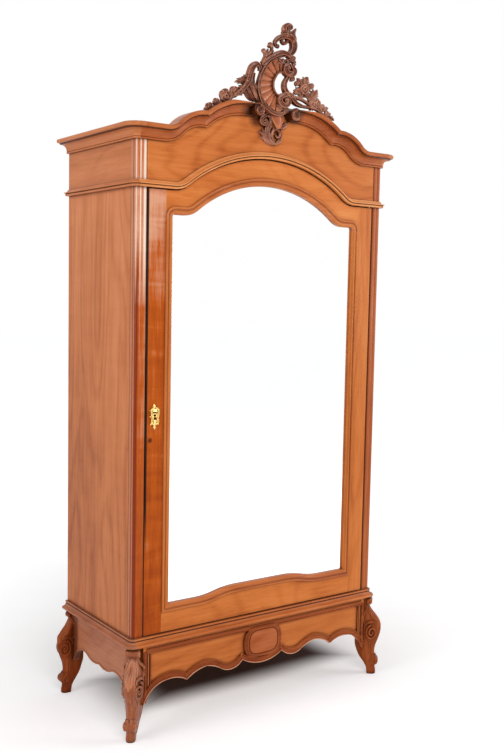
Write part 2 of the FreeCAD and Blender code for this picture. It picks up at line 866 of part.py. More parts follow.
def keyhole(y0, y1):
    """Round hole with a slot below it, through everything from y0 to y1."""
    hole = cylinder_y(key_x, lock_height_z, keyhole_radius, y0, y1)
    slot = block(key_x - key_slot_width / 2, key_x + key_slot_width / 2, y0, y1,
                 lock_height_z - key_slot_drop, lock_height_z)
    return hole.fuse(slot)


def lock_case():
    """Hollow box on the back of the left stile, open where the bolt leaves it."""
    x0 = -(door_half - lock_edge_setback)
    x1 = x0 + lock_case_width
    z0 = lock_height_z - lock_case_height / 2
    z1 = lock_height_z + lock_case_height / 2
    y1 = door_back + lock_case_depth
    shell = block(x0, x1, door_back, y1, z0, z1)
    plate = block(x0, x1, door_back, door_back + lock_wall, z0 - lock_flange, z1 + lock_flange)
    hollow = block(x0 + lock_wall, x1 - lock_wall, bolt_y - bolt_thickness / 2 - bolt_play,
                   bolt_y + bolt_thickness / 2 + bolt_play, z0 + lock_wall, z1 - lock_wall)
    mouth = block(x0, x0 + lock_wall, bolt_y - bolt_thickness / 2 - bolt_play,
                  bolt_y + bolt_thickness / 2 + bolt_play, lock_height_z - bolt_height / 2 - bolt_play,
                  lock_height_z + bolt_height / 2 + bolt_play)
    return shell.fuse(plate).cut(hollow).cut(mouth).cut(keyhole(door_back, bolt_y))


def lock_bolt():
    """Flat bar that rests drawn back, its end level with the case, notched where the key turns."""
    x0 = -(door_half - lock_edge_setback)
    bar = block(x0, x0 + bolt_length, bolt_y - bolt_thickness / 2, bolt_y + bolt_thickness / 2,
                lock_height_z - bolt_height / 2, lock_height_z + bolt_height / 2)
    notch = block(key_x - key_slot_drop, key_x + key_slot_drop, bolt_y - bolt_thickness,
                  bolt_y + bolt_thickness, lock_height_z - bolt_height,
                  lock_height_z + keyhole_radius)
    return bar.cut(notch)


def strike_slot(depth):
    """Space that the thrown bolt enters in the left post."""
    return block(-bay_half - depth, -bay_half, bolt_y - bolt_thickness / 2 - strike_play,
                 bolt_y + bolt_thickness / 2 + strike_play,
                 lock_height_z - bolt_height / 2 - strike_play,
                 lock_height_z + bolt_height / 2 + strike_play)


def strike_plate():
    """Plate let in flush on the inner face of the left post."""
    return block(-bay_half - strike_thickness, -bay_half, door_back + bolt_play, front + post_depth,
                 lock_height_z - strike_height / 2, lock_height_z + strike_height / 2).cut(
                     strike_slot(strike_thickness))


def escutcheon():
    """Upright oval plate with a waisted outline and a keyhole."""
    y = front
    half_w = escutcheon_width / 2
    half_h = escutcheon_height / 2
    waist = escutcheon_waist
    shoulder = half_h * 0.42
    right = [V(key_x, y, lock_height_z + half_h), V(key_x + half_w * 0.62, y, lock_height_z + half_h * 0.72),
             V(key_x + waist, y, lock_height_z + shoulder), V(key_x + half_w, y, lock_height_z),
             V(key_x + waist, y, lock_height_z - shoulder),
             V(key_x + half_w * 0.62, y, lock_height_z - half_h * 0.72),
             V(key_x, y, lock_height_z - half_h)]
    edges = wave(right)
    left = [e.mirror(V(key_x, 0, 0), V(1, 0, 0)) for e in edges]
    plate = slab(edges + left, y, y - escutcheon_thickness)
    return plate.cut(keyhole(front - escutcheon_thickness, front))


def escutcheon_pins():
    """Two round-headed pins, above and below the keyhole."""
    pins = []
    for share in (0.62, -0.62):
        z = lock_height_z + share * escutcheon_height / 2
        head_y = front - escutcheon_thickness
        shank = cylinder_y(key_x, z, pin_radius, head_y, head_y + pin_length)
        head = cylinder_y(key_x, z, pin_head_radius, head_y - pin_radius, head_y)
        pins.append(shank.fuse(head))
    return Part.makeCompound(pins)


def pivot_plate(z0, z1):
    """Flat plate round the pivot axis, between two heights."""
    x1 = pivot_x + pivot_inset - door_edge_radius
    return block(x1 - pivot_plate_length, x1, pivot_y - pivot_plate_width / 2,
                 pivot_y + pivot_plate_width / 2, z0, z1)


def pivot_screws(z, direction):
    """Two screws beside the pin, in line with it along the plate."""
    x1 = pivot_x + pivot_inset - door_edge_radius
    reach_in = pivot_plate_length - screw_head_radius * 1.5
    places = (x1 - reach_in, x1 - reach_in + screw_head_radius * 2.6)
    return [screw(x, pivot_y, z, direction) for x in places]


def lower_pivot():
    """Plate, collar and pin on the front rail."""
    plate = pivot_plate(floor_z - pivot_plate_thickness, floor_z)
    collar = cylinder_z(pivot_x, pivot_y, pivot_collar_radius, floor_z, door_bottom_z - pivot_collar_play)
    pin = cylinder_z(pivot_x, pivot_y, pivot_pin_radius, floor_z, door_bottom_z + pivot_pin_length)
    return plate.fuse([collar, pin]).removeSplitter()


def upper_pivot():
    """Plate and pin under the end of the frieze."""
    plate = pivot_plate(frieze_bottom_z, frieze_bottom_z + pivot_plate_thickness)
    pin = cylinder_z(pivot_x, pivot_y, pivot_pin_radius, door_top_z - pivot_pin_length, frieze_bottom_z)
    return plate.fuse(pin).removeSplitter()


def door_pivot_plates():
    """The two plates let into the door's ends, each bored for its pin."""
    plates = [pivot_plate(door_bottom_z, door_bottom_z + pivot_plate_thickness),
              pivot_plate(door_top_z - pivot_plate_thickness, door_top_z)]
    bore = cylinder_z(pivot_x, pivot_y, pivot_pin_radius + pivot_clearance, door_bottom_z, door_top_z)
    return [p.cut(bore) for p in plates]


def pin_bores():
    """Wider holes in the stile behind the plates, deeper than the pins."""
    radius = pivot_pin_radius + pivot_bore_play
    depth = pivot_pin_length + pivot_plate_thickness
    low = cylinder_z(pivot_x, pivot_y, radius, door_bottom_z, door_bottom_z + depth)
    high = cylinder_z(pivot_x, pivot_y, radius, door_top_z - depth, door_top_z)
    return low.fuse(high)


# Crest


def curve(points, y):
    """Smooth closed outline through (x, z) points."""
    spline = Part.BSplineCurve()
    spline.interpolate(flat(points, y), PeriodicFlag=True)
    return [spline.toShape()]


def crest_outline(points, y0, y1):
    """Plate drawn on a grid whose unit is a volute's distance from the middle, over the crest's foot."""
    foot_z = cornice_line.crown_z + cornice_height - volute_drop
    return slab(curve([(x * volute_x, foot_z + z * volute_x) for x, z in points], y0), y0, y1)


def spray_outline(points, side, y0, y1):
    """Plate on one half of the arch: share of the way to the cusp, height over the arch in grid units."""
    cusp_x = cornice_line.cusp(cornice_height)[0]
    placed = []
    for share, height in points:
        x = share * cusp_x
        placed.append((side * x, cornice_line.top_at(x) + height * volute_x))
    return slab(curve(placed, y0), y0, y1)


def crest_shell(cornices):
    """Leaning egg-shaped shell with an oval hole, standing against the frieze."""
    y0 = front - crest_thickness
    body = crest_outline([(-0.18, -0.3), (-0.76, 0.06), (-1.07, 0.79), (-0.93, 1.52), (-0.46, 2.07),
                          (0.24, 2.22), (0.71, 2.01), (0.78, 1.34), (0.63, 0.85), (0.8, 0.37),
                          (0.49, -0.12)], y0, front)
    hole = crest_outline([(0.04, 0.56), (-0.21, 0.8), (-0.21, 1.15), (0.05, 1.46), (0.29, 1.27),
                          (0.29, 0.8)], y0, front)
    return body.cut(hole).cut(cornices)


def crest_top_scroll(shell):
    """Open C-scroll with a leaf on top, rising from the shell."""
    y0 = front - crest_thickness
    y1 = y0 + crest_scroll_thickness
    body = crest_outline([(0.49, 2.1), (0.8, 2.44), (0.88, 2.83), (0.78, 3.2), (0.79, 3.5),
                          (0.61, 3.33), (0.5, 3.55), (0.33, 3.72), (0.18, 3.45), (0.12, 3.14),
                          (-0.15, 2.9), (-0.44, 2.71), (-0.49, 2.51), (-0.76, 2.27), (-0.71, 1.95),
                          (-0.24, 2.05)], y0, y1)
    hole = crest_outline([(0.12, 2.32), (0.41, 2.44), (0.54, 2.68), (0.37, 2.9), (0.1, 2.76),
                          (-0.1, 2.51)], y0, y1)
    return body.cut(hole).cut(shell)


def crest_spray_left(others):
    """Acanthus and roses that run down the left arch from the shell."""
    y0 = front - crest_thickness + spray_setback
    body = spray_outline([(0.2, 0.12), (0.25, 1.34), (0.33, 1.59), (0.38, 1.37), (0.51, 1),
                          (0.64, 0.73), (0.68, 0.51), (0.81, 0.51), (1, 0.41), (1.05, 0.12),
                          (0.84, -0.07), (0.67, -0.07), (0.51, -0.07), (0.37, -0.07)],
                         -1, y0, y0 + spray_thickness)
    return body.cut(others)


def crest_spray_right(others):
    """Flowers and leaves that run down the right arch from the shell."""
    y0 = front - crest_thickness + spray_setback
    body = spray_outline([(0.19, 0.02), (0.24, 0.73), (0.34, 1.2), (0.45, 1), (0.51, 0.78), (0.59, 0.8),
                          (0.67, 0.46), (0.81, 0.32), (0.92, 0.12), (0.78, -0.07), (0.61, -0.07),
                          (0.37, -0.07)],
                         1, y0, y0 + spray_thickness)
    return body.cut(others)


def crest_pendant(others):
    """Leaf drop on the frieze, under the shell and between the volutes."""
    y0 = front - pendant_thickness
    body = crest_outline([(-0.2, -1.6), (-0.61, -1.32), (-0.93, -1.07), (-0.66, -0.73), (-0.49, -0.12),
                          (0.37, -0.12), (0.49, -0.59), (0.68, -0.68), (0.41, -1), (0.22, -1.44)], y0, front)
    return body.cut(others)


# Build every piece


fr_leg = front_leg()
rr_leg = rear_leg()
legs = {"front_right": fr_leg, "front_left": mirrored(fr_leg), "rear_right": rr_leg,
        "rear_left": mirrored(rr_leg)}
all_legs = Part.makeCompound(list(legs.values()))
for place, shape in legs.items():
    save("leg_" + place, shape)
save("front_apron", front_apron(all_legs))
apron_right = side_apron(all_legs)
save("side_apron_right", apron_right)
save("side_apron_left", mirrored(apron_right))
save("back_panel", back_panel(all_legs))

base_side = side_run(base_profile(), apron_top_z)
save("base_moulding_right", base_side)
save("base_moulding_left", mirrored(base_side))

rear_right = rear_post()
rear_posts = Part.makeCompound([rear_right, mirrored(rear_right)])
save("rear_post_right", rear_right)
save("rear_post_left", mirrored(rear_right))
panel_right = side_panel()
save("side_panel_right", panel_right)
save("side_panel_left", mirrored(panel_right))
frieze_right = frieze_side()
save("frieze_right", frieze_right)
save("frieze_left", mirrored(frieze_right))

rail_back = front + front_rail_depth
rail = block(-bay_half, bay_half, front, rail_back, apron_top_z, floor_z)
front_rail = rail.fuse(front_run(base_profile(), apron_top_z)).removeSplitter()
bottom = floor_board(floor_z - board_thickness, rail_back, rear_posts)
posts_right = front_post()
front_posts = Part.makeCompound([posts_right, mirrored(posts_right)])
save("bottom_board", bottom.cut(front_posts))
top = floor_board(carcass_top_z - board_thickness, front + frieze_thickness, rear_posts)
save("top_board", top.cut(front_posts))
for name, level in zip(("lower", "middle", "upper"), shelf_levels()):
    save("shelf_" + name, floor_board(level, front + shelf_setback, rear_posts))
save("shelf_cleats", cleats())

save("architrave_front", architrave_front())
architrave_side = side_run(architrave_profile(), frieze_bottom_z)
save("architrave_right", architrave_side)
save("architrave_left", mirrored(architrave_side))
mitre = cornice_mitre()
crown = cornice_crown(mitre)
hump = cornice_hump(mitre)
for name, shape in (("crown", crown), ("hump", hump)):
    save("cornice_" + name + "_right", shape)
    save("cornice_" + name + "_left", mirrored(shape))
cornice_end = side_run(cornice_profile(), cornice_bottom_z)
save("cornice_side_right", cornice_end)
save("cornice_side_left", mirrored(cornice_end))

lengths = [crown, hump, mirrored(crown), mirrored(hump)]
shell = crest_shell(Part.makeCompound(lengths))
save("crest_shell", shell)
save("crest_top_scroll", crest_top_scroll(shell))
held = Part.makeCompound([shell] + lengths)
save("crest_spray_left", crest_spray_left(held))
save("crest_spray_right", crest_spray_right(held))
save("crest_pendant", crest_pendant(held))

down = V(0, 0, -1)
up = V(0, 0, 1)
rail_screws = pivot_screws(floor_z, down)
frieze_screws = pivot_screws(frieze_bottom_z, up)
strike_y = (door_back + bolt_play + front + post_depth) / 2
strike_reach = strike_height / 2 - screw_head_radius * 1.6
strike_screws = [screw(-bay_half, strike_y, lock_height_z + s * strike_reach, V(-1, 0, 0)) for s in (1, -1)]
fixed_screws = Part.makeCompound(rail_screws + frieze_screws + strike_screws)
lower_plate = lower_pivot()
upper_plate = upper_pivot()
save("cabinet_screws", fixed_screws)
save("pivot_lower", driven_into(lower_plate, fixed_screws))
save("pivot_upper", driven_into(upper_plate, fixed_screws))
save("base_moulding_front", driven_into(front_rail, fixed_screws).cut(lower_plate))
save("frieze_front", driven_into(frieze_front(), fixed_screws).cut(upper_plate))
strike = strike_plate()
save("strike_plate", driven_into(strike, fixed_screws))
save("front_post_right", posts_right)
post_left = mirrored(posts_right).cut(strike).cut(strike_slot(mortise_depth))
save("front_post_left", driven_into(post_left, fixed_screws))

door_plates = door_pivot_plates()
case = lock_case()
panel = backboard()
door_fixings = pivot_screws(door_bottom_z, up) + pivot_screws(door_top_z, down)
lap_y = door_back + backboard_flange_thickness
lap_x = opening_half + backboard_flange / 2
lap_run = opening_top_z - opening_bottom_z
for i in range(backboard_screws_a_side):
    lap_z = opening_bottom_z + lap_run * (i + 0.5) / backboard_screws_a_side
    door_fixings += [screw(s * lap_x, lap_y, lap_z, V(0, -1, 0)) for s in (1, -1)]
ear_z = lock_case_height / 2 + lock_flange / 2
case_x = -(door_half - lock_edge_setback) + lock_case_width / 2
for sx in (1, -1):
    for sz in (1, -1):
        ear_x = case_x + sx * (lock_case_width / 2 - lock_flange / 2)
        door_fixings.append(screw(ear_x, door_back + lock_wall, lock_height_z + sz * ear_z, V(0, -1, 0)))
door_screws = Part.makeCompound(door_fixings)
pins = escutcheon_pins()
save("door_screws", door_screws)
save("door_pivot_plates", Part.makeCompound([driven_into(p, door_screws) for p in door_plates]))
plain_stile = stile()
hinge_stile = plain_stile.cut(pin_bores()).cut(Part.makeCompound(door_plates))
save("door_stile_right", driven_into(hinge_stile, door_screws))
lock_stile = mirrored(plain_stile).cut(keyhole(front, door_back)).cut(pins)
save("door_stile_left", driven_into(lock_stile, door_screws))
save("door_top_rail", driven_into(top_rail(), door_screws))
save("door_bottom_rail", driven_into(bottom_rail(), door_screws))
for place, shape in mirror_lengths().items():
    save("mirror_moulding_" + place, shape)
glass_y = front + mirror_setback
save("mirror_plate", opening_slab(mirror_play, glass_y, glass_y + mirror_thickness))
save("mirror_backboard", driven_into(panel, door_screws))
save("lock_case", driven_into(case, door_screws))
save("lock_bolt", lock_bolt())
save("escutcheon", escutcheon().cut(pins))
save("escutcheon_pins", pins)
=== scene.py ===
import json
import math

import bmesh
import bpy
from mathutils import Matrix, Vector


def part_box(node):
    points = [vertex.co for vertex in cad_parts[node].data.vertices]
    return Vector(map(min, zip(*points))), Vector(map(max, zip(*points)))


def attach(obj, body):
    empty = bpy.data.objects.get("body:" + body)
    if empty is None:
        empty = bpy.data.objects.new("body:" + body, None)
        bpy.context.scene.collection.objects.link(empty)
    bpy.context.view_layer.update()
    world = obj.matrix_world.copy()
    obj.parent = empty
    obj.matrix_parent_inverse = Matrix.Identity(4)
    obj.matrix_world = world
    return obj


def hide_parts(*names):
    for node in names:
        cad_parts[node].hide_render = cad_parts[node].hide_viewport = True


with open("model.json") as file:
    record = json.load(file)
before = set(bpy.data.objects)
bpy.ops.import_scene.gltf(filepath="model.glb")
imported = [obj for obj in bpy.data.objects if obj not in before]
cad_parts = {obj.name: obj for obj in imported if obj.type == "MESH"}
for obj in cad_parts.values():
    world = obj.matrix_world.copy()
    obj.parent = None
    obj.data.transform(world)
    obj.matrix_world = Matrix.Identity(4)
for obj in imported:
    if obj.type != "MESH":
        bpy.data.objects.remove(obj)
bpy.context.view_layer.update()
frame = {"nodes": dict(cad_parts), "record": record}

# Bonnetiere cabinet. The joined frame comes packed; here it gets its carving, mirror bevel and finishes.
# Metres. The door faces -Y. Carving is drawn in millimetres on upright planes, across and up.

nodes = frame["nodes"]
scene = bpy.context.scene
mm = 0.001
door_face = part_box("door_stile_left")[0].y
frieze_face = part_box("frieze_front")[0].y
carcass_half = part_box("front_post_right")[1].x
carcass_corner = 0.009


# Finishes


class Amount:
    """A number that changes over a surface, so that sums with it can be written plainly."""

    def __init__(self, maker, socket):
        self.maker = maker
        self.socket = socket

    def worked(self, operation, a, b):
        made = self.maker.node("ShaderNodeMath", {"operation": operation}, {0: a, 1: b})
        return Amount(self.maker, made.outputs[0])

    def __add__(self, other):
        return self.worked("ADD", self, other)

    def __radd__(self, other):
        return self.worked("ADD", other, self)

    def __sub__(self, other):
        return self.worked("SUBTRACT", self, other)

    def __rsub__(self, other):
        return self.worked("SUBTRACT", other, self)

    def __mul__(self, other):
        return self.worked("MULTIPLY", self, other)

    def __rmul__(self, other):
        return self.worked("MULTIPLY", other, self)

    def __pow__(self, other):
        return self.worked("POWER", self, other)

    def at_least(self, other):
        return self.worked("MAXIMUM", self, other)

    def at_most(self, other):
        return self.worked("MINIMUM", self, other)

    def sine(self):
        return self.worked("SINE", self, 0.0)


class Nodes:
    """The nodes of a material or of the world, with the shader that they feed."""

    def __init__(self, owner, shader):
        owner.use_nodes = True
        self.tree = owner.node_tree
        self.shader = self.tree.nodes[shader]

    def node(self, kind, settings, values):
        """Adds one node: its settings first, then the values or links of its sockets."""
        made = self.tree.nodes.new(kind)
        for key, setting in settings.items():
            if key == "stops":
                ramp = made.color_ramp.elements
                while len(ramp) < len(setting):
                    ramp.new(0.5)
                for stop, (position, colour) in zip(ramp, setting):
                    stop.position = position
                    stop.color = (*colour, 1)
            else:
                setattr(made, key, setting)
        for key, value in values.items():
            self.feed(made.inputs[key], value)
        return made

    def feed(self, socket, value):
        if isinstance(value, Amount):
            value = value.socket
        if isinstance(value, bpy.types.NodeSocket):
            self.tree.links.new(value, socket)
        elif socket.type == "RGBA":
            socket.default_value = (*value, 1)
        else:
            socket.default_value = value

    def set(self, **values):
        """Feeds the shader's own sockets; words are joined by an underline."""
        for key, value in values.items():
            self.feed(self.shader.inputs[key.replace("_", " ")], value)

    def seen(self):
        """1 for what is seen directly, in the glass or through it; 0 for light on its way to other things."""
        rays = self.node("ShaderNodeLightPath", {}, {}).outputs
        direct, mirrored, through = (Amount(self, rays[ray]) for ray in (
            "Is Camera Ray", "Is Glossy Ray", "Is Transmission Ray"))
        return direct.at_least(mirrored).at_least(through)


class Finish(Nodes):
    """A material in the making, with the patterns and colours that the finishes share."""

    def __init__(self, name):
        self.material = bpy.data.materials.new(name)
        super().__init__(self.material, "Principled BSDF")
        self.place = self.node("ShaderNodeTexCoord", {}, {}).outputs["Object"]

    def mapped(self, scale, location=(0, 0, 0)):
        values = {"Vector": self.place, "Scale": scale, "Location": location}
        return self.node("ShaderNodeMapping", {}, values).outputs[0]

    def cloud(self, vector, scale, detail, roughness=0.5, distortion=0.0):
        made = self.node("ShaderNodeTexNoise", {}, {"Vector": vector, "Scale": scale, "Detail": detail,
                                                     "Roughness": roughness, "Distortion": distortion})
        return Amount(self, made.outputs[0])

    def sides(self):
        """How far to the right, how far back and how high a point lies."""
        split = self.node("ShaderNodeSeparateXYZ", {}, {0: self.place}).outputs
        return [Amount(self, socket) for socket in split]

    def away_from(self, spot):
        made = self.node("ShaderNodeVectorMath", {"operation": "DISTANCE"}, {0: self.place, 1: spot})
        return Amount(self, made.outputs["Value"])

    def blended(self, share, first, second):
        made = self.node("ShaderNodeMix", {"data_type": "RGBA"}, {0: share, 6: first, 7: second})
        return made.outputs[2]

    def ramp(self, amount, stops):
        return self.node("ShaderNodeValToRGB", {"stops": stops}, {0: amount}).outputs[0]

    def shelter(self, reach, inside=False):
        """How open the surface lies, from 0 in a deep corner to 1; inside, how far it is from an edge."""
        made = self.node("ShaderNodeAmbientOcclusion", {"samples": 6, "inside": inside, "only_local": inside},
                         {"Distance": reach})
        return Amount(self, made.outputs["AO"])

    def bump(self, height, strength, distance):
        made = self.node("ShaderNodeBump", {}, {"Strength": strength, "Distance": distance, "Height": height})
        self.set(Normal=made.outputs[0])


def shading_band(measured, centre, half, strength, colour, lowest=-1.0, highest=9.0):
    """A band of colour, mostly painted shade and painted highlight: how its place is measured, its middle,
    half its width, and the heights it ends at.

    across is to both sides of the middle, face the same on the front face alone, depth is from front to back,
    and out is so far out from the carcass all round.
    """
    return measured, centre, half, strength, colour, lowest, highest


def lay_shading_bands(finish, wood, shading_bands):
    """Lays painted bands of shade and highlight over the wood: full in their inner half, fading to their
    sides and ends.
    """
    face_skin, skin_slope, height_slope = 0.006, 8.0, 5.0
    x, depth, height = finish.sides()
    across = (x ** 2.0) ** 0.5
    beside = (across - (carcass_half - carcass_corner)).at_least(0.0)
    before = (door_face + carcass_corner - depth).at_least(0.0)
    measures = {"across": across, "depth": depth,
                "face": across + (depth - (door_face + face_skin)).at_least(0.0) * skin_slope,
                "out": (beside ** 2.0 + before ** 2.0) ** 0.5 - carcass_corner}
    for measured, centre, half, strength, colour, lowest, highest in shading_bands:
        near = (1 - ((measures[measured] - centre) ** 2.0) ** 0.5 * (1 / half)).at_least(0.0) * 2.0
        level = ((height - lowest) * height_slope).at_most((highest - height) * height_slope)
        share = near.at_most(1.0) * level.at_least(0.0).at_most(1.0) * strength
        wood = finish.blended(share, wood, colour)
    return wood


along_grain = {"X": (0.06, 1, 1), "Y": (1, 0.06, 1), "Z": (1, 1, 0.06)}
flame_grain = {"X": (0.3, 1, 1), "Y": (1, 0.3, 1), "Z": (1, 1, 0.2)}
across_grain = {"X": (1, 0.2, 0.2), "Y": (0.2, 1, 0.2), "Z": (0.2, 0.2, 1)}
flame_lines = 60.0
knot_and_shadow_brown = (0.06, 0.008, 0.003)
corner_shade = (0.03, 0.005, 0.001)


def cherry(name, grain, pale, ruddy, deep, figure=0.1, curly=0.0, place=(0, 0, 0), rough=0.36, coat=0.0,
           shine=0.1, wear_and_highlight=0.25, arris=0.004, shade_strength=0.95, corners=0.014, rise=0.0, middle=1.2, knot=None,
           shading_bands=()):
    """Waxed fruitwood: flame figure and streaks along the grain, pores, pale edges, painted shade in the
    corners.

    curly adds bands across the grain; arris and corners are how far the pale edges, from use and painted
    highlight, and the painted corner shade reach; rise makes the wood paler above the middle height; a knot
    is a
    dark spot with its place and radius: a knot by the keyhole, a painted shadow on the frieze.
    """
    finish = Finish(name)
    board = finish.mapped(along_grain[grain], place)
    streak = finish.cloud(board, 110.0, 4.0, 0.6)
    broad = finish.cloud(board, 18.0, 2.0)
    blotch = finish.cloud(finish.place, 3.2, 2.0)
    flame = finish.cloud(finish.mapped(flame_grain[grain], place), 4.5, 1.5, 0.4, distortion=0.5)
    line = (flame * flame_lines).sine() * 0.5 + 0.5
    pores = (finish.cloud(board, 520.0, 1.0) - 0.6).at_least(0.0)
    tone = (0.5 + (broad - 0.5) * 0.5 + (streak - 0.5) * 0.55 + (blotch - 0.5) * 0.5 + (flame - 0.5) * 0.3
            - (line ** 3.0 - 0.3) * figure - pores * 1.1)
    if curly:
        bands = finish.cloud(finish.mapped(across_grain[grain]), 22.0, 2.0, 0.5, distortion=0.8)
        tone = tone + (bands - 0.5) * curly
    if rise:
        height = finish.sides()[2]
        tone = tone + ((height - middle) * rise).at_most(0.3).at_least(-0.15)
    wood = finish.ramp(tone, [(0.1, deep), (0.5, ruddy), (0.9, pale)])
    if shading_bands:
        wood = lay_shading_bands(finish, wood, shading_bands)
    # A dark spot: a knot by the keyhole, a painted shadow on the frieze
    if knot:
        spot, radius = knot
        dark = 1.3 - finish.away_from(spot) * (1.3 / radius) + (streak - 0.5)
        wood = finish.blended(dark.at_least(0.0).at_most(0.85), wood, knot_and_shadow_brown)
    # Paler edges, from use and from a painted highlight along the arrises
    edge = ((1 - finish.shelter(arris, inside=True)) * wear_and_highlight).at_most(0.6)
    rubbed_and_lit_wood = finish.blended(edge, wood, pale)
    # Painted shade: the colour darkens in corners, creases and hollows, where shade falls
    corner_shading = (((1 - finish.shelter(corners)) * 1.35) ** 1.3 * shade_strength).at_most(0.96)
    finish.set(Base_Color=finish.blended(corner_shading, rubbed_and_lit_wood, corner_shade),
               Roughness=rough + (streak - 0.5) * 0.14 + (blotch - 0.5) * 0.1 + pores * 0.5,
               Coat_Weight=coat, Coat_Roughness=0.14, Specular_IOR_Level=shine)
    finish.bump(streak * 0.5 - pores * 2.0 - line * 0.1, 0.1, 0.0008)
    return finish.material


def silvered_glass():
    """Mirror with a faint unevenness in its silver."""
    finish = Finish("silvered_glass")
    haze = finish.cloud(finish.place, 5.0, 3.0)
    finish.set(Metallic=1.0, Roughness=0.015 + haze * 0.02,
               Base_Color=finish.ramp(haze, [(0.3, (0.985, 0.992, 0.988)), (0.7, (1, 1, 1))]))
    return finish.material


def brass(name, bright, tarnish, rough):
    """Yellow brass: bright where it is rubbed, brown in the hollows, with a fine brushed unevenness."""
    finish = Finish(name)
    mottle = finish.cloud(finish.place, 160.0, 4.0, 0.6)
    hollow = (1 - finish.shelter(0.005)) * 0.8 + (0.55 - mottle).at_least(0.0)
    finish.set(Metallic=1.0, Roughness=rough + (mottle - 0.5) * 0.2,
               Base_Color=finish.blended(hollow.at_most(0.9), bright, tarnish))
    finish.bump(mottle, 0.06, 0.0005)
    return finish.material


def dull_iron():
    """Grey-brown mottled iron of the lock works."""
    finish = Finish("dull_iron")
    mottle = finish.cloud(finish.place, 90.0, 5.0, 0.65)
    finish.set(Metallic=0.9, Roughness=0.4 + mottle * 0.25,
               Base_Color=finish.ramp(mottle, [(0.3, (0.16, 0.13, 0.11)), (0.7, (0.42, 0.41, 0.39))]))
    finish.bump(mottle, 0.1, 0.0005)
    return finish.material


honey = dict(pale=(0.74, 0.265, 0.075), ruddy=(0.59, 0.17, 0.037), deep=(0.37, 0.078, 0.012))
amber = dict(pale=(0.72, 0.26, 0.08), ruddy=(0.52, 0.14, 0.032), deep=(0.3, 0.055, 0.01))
cornice_tone = dict(pale=(0.64, 0.22, 0.068), ruddy=(0.45, 0.112, 0.026), deep=(0.26, 0.046, 0.008))
golden = dict(pale=(0.77, 0.275, 0.078), ruddy=(0.62, 0.18, 0.039), deep=(0.39, 0.082, 0.013))
toasted = dict(pale=(0.72, 0.25, 0.072), ruddy=(0.575, 0.162, 0.036), deep=(0.34, 0.069, 0.011))
rosy = dict(pale=(0.68, 0.25, 0.105), ruddy=(0.53, 0.172, 0.06), deep=(0.33, 0.085, 0.026))
dusky = dict(pale=(0.56, 0.23, 0.12), ruddy=(0.42, 0.145, 0.07), deep=(0.26, 0.07, 0.028))
tawny = dict(pale=(0.68, 0.235, 0.066), ruddy=(0.54, 0.15, 0.033), deep=(0.32, 0.064, 0.01))
fiery = dict(pale=(0.7, 0.335, 0.2), ruddy=(0.49, 0.092, 0.006), deep=(0.3, 0.045, 0.003))
bright = dict(pale=(0.92, 0.44, 0.18), ruddy=(0.74, 0.265, 0.078), deep=(0.45, 0.11, 0.022))
red = dict(pale=(0.5, 0.14, 0.04), ruddy=(0.26, 0.048, 0.009), deep=(0.13, 0.02, 0.003))
nutty = dict(pale=(0.54, 0.17, 0.06), ruddy=(0.42, 0.105, 0.03), deep=(0.25, 0.05, 0.01))
russet = dict(pale=(0.62, 0.21, 0.09), ruddy=(0.42, 0.11, 0.035), deep=(0.2, 0.035, 0.008))
brown = dict(pale=(0.7, 0.31, 0.19), ruddy=(0.19, 0.04, 0.011), deep=(0.06, 0.01, 0.003))
lit_leg_brown = dict(pale=(0.64, 0.24, 0.11), ruddy=(0.31, 0.078, 0.022), deep=(0.12, 0.02, 0.005))
shaded_leg_brown = dict(pale=(0.46, 0.12, 0.034), ruddy=(0.23, 0.042, 0.007), deep=(0.08, 0.011, 0.002))
plain = dict(pale=(0.68, 0.47, 0.29), ruddy=(0.56, 0.36, 0.2), deep=(0.42, 0.25, 0.13))
groove_shade_tones = dict(pale=(0.1, 0.024, 0.01), ruddy=(0.06, 0.012, 0.005), deep=(0.02, 0.004, 0.002))
arris_highlight_tones = dict(pale=(0.72, 0.38, 0.24), ruddy=(0.6, 0.27, 0.15), deep=(0.42, 0.16, 0.08))
painted_highlight = (0.92, 0.74, 0.6)
flank_tone = (0.5, 0.19, 0.1)
shaded_reed_red = (0.18, 0.015, 0.001)
rebate_shade_red = (0.24, 0.034, 0.004)
gap_shade = (0.003, 0.001, 0.0005)
gap_shade_brown = (0.1, 0.016, 0.004)
shade_brown = (0.05, 0.011, 0.004)
leg_shadow = (0.1, 0.018, 0.005)

# Left post: painted shade at the door gap and on its left-facing reed, a paler side face, painted highlights
# on three reeds above 1.5 m
reed_shade_and_highlight = (shading_band("face", 0.5045, 0.007, 1.0, gap_shade, highest=2.12),
               shading_band("across", 0.558, 0.014, 0.75, flank_tone),
               shading_band("face", 0.549, 0.013, 0.9, shaded_reed_red, highest=1.75),
               shading_band("face", 0.516, 0.006, 0.95, painted_highlight, lowest=1.5),
               shading_band("face", 0.532, 0.0035, 0.8, painted_highlight, lowest=1.5),
               shading_band("face", 0.5475, 0.0025, 0.6, painted_highlight, lowest=1.5))
# Painted shade in the gaps between the door and the posts
stile_gap = shading_band("face", 0.504, 0.006, 1.0, gap_shade, lowest=0.6)
post_gap = shading_band("face", 0.504, 0.012, 1.0, gap_shade_brown, highest=2.4)
# Painted shade on the mirror's side mouldings: in their hollow and at the edge by the glass
glazing_shade = (shading_band("across", 0.43, 0.01, 0.12, rebate_shade_red),
                  shading_band("across", 0.411, 0.004, 0.2, shade_brown))
# Painted shade: under the cornice's top roll, on the crown's middle, in the base moulding's groove, by the
# rear legs
cornice_groove = shading_band("out", 0.037, 0.005, 0.85, shade_brown)
crown_shade = shading_band("across", 0.07, 0.075, 1.0, shade_brown)
base_groove = shading_band("out", 0.0061, 0.0026, 0.75, shade_brown)
leg_shade = shading_band("depth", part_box("side_apron_right")[1].y, 0.045, 0.85, leg_shadow)
keyhole_knot = ((-0.488, door_face, 1.042), 0.011)
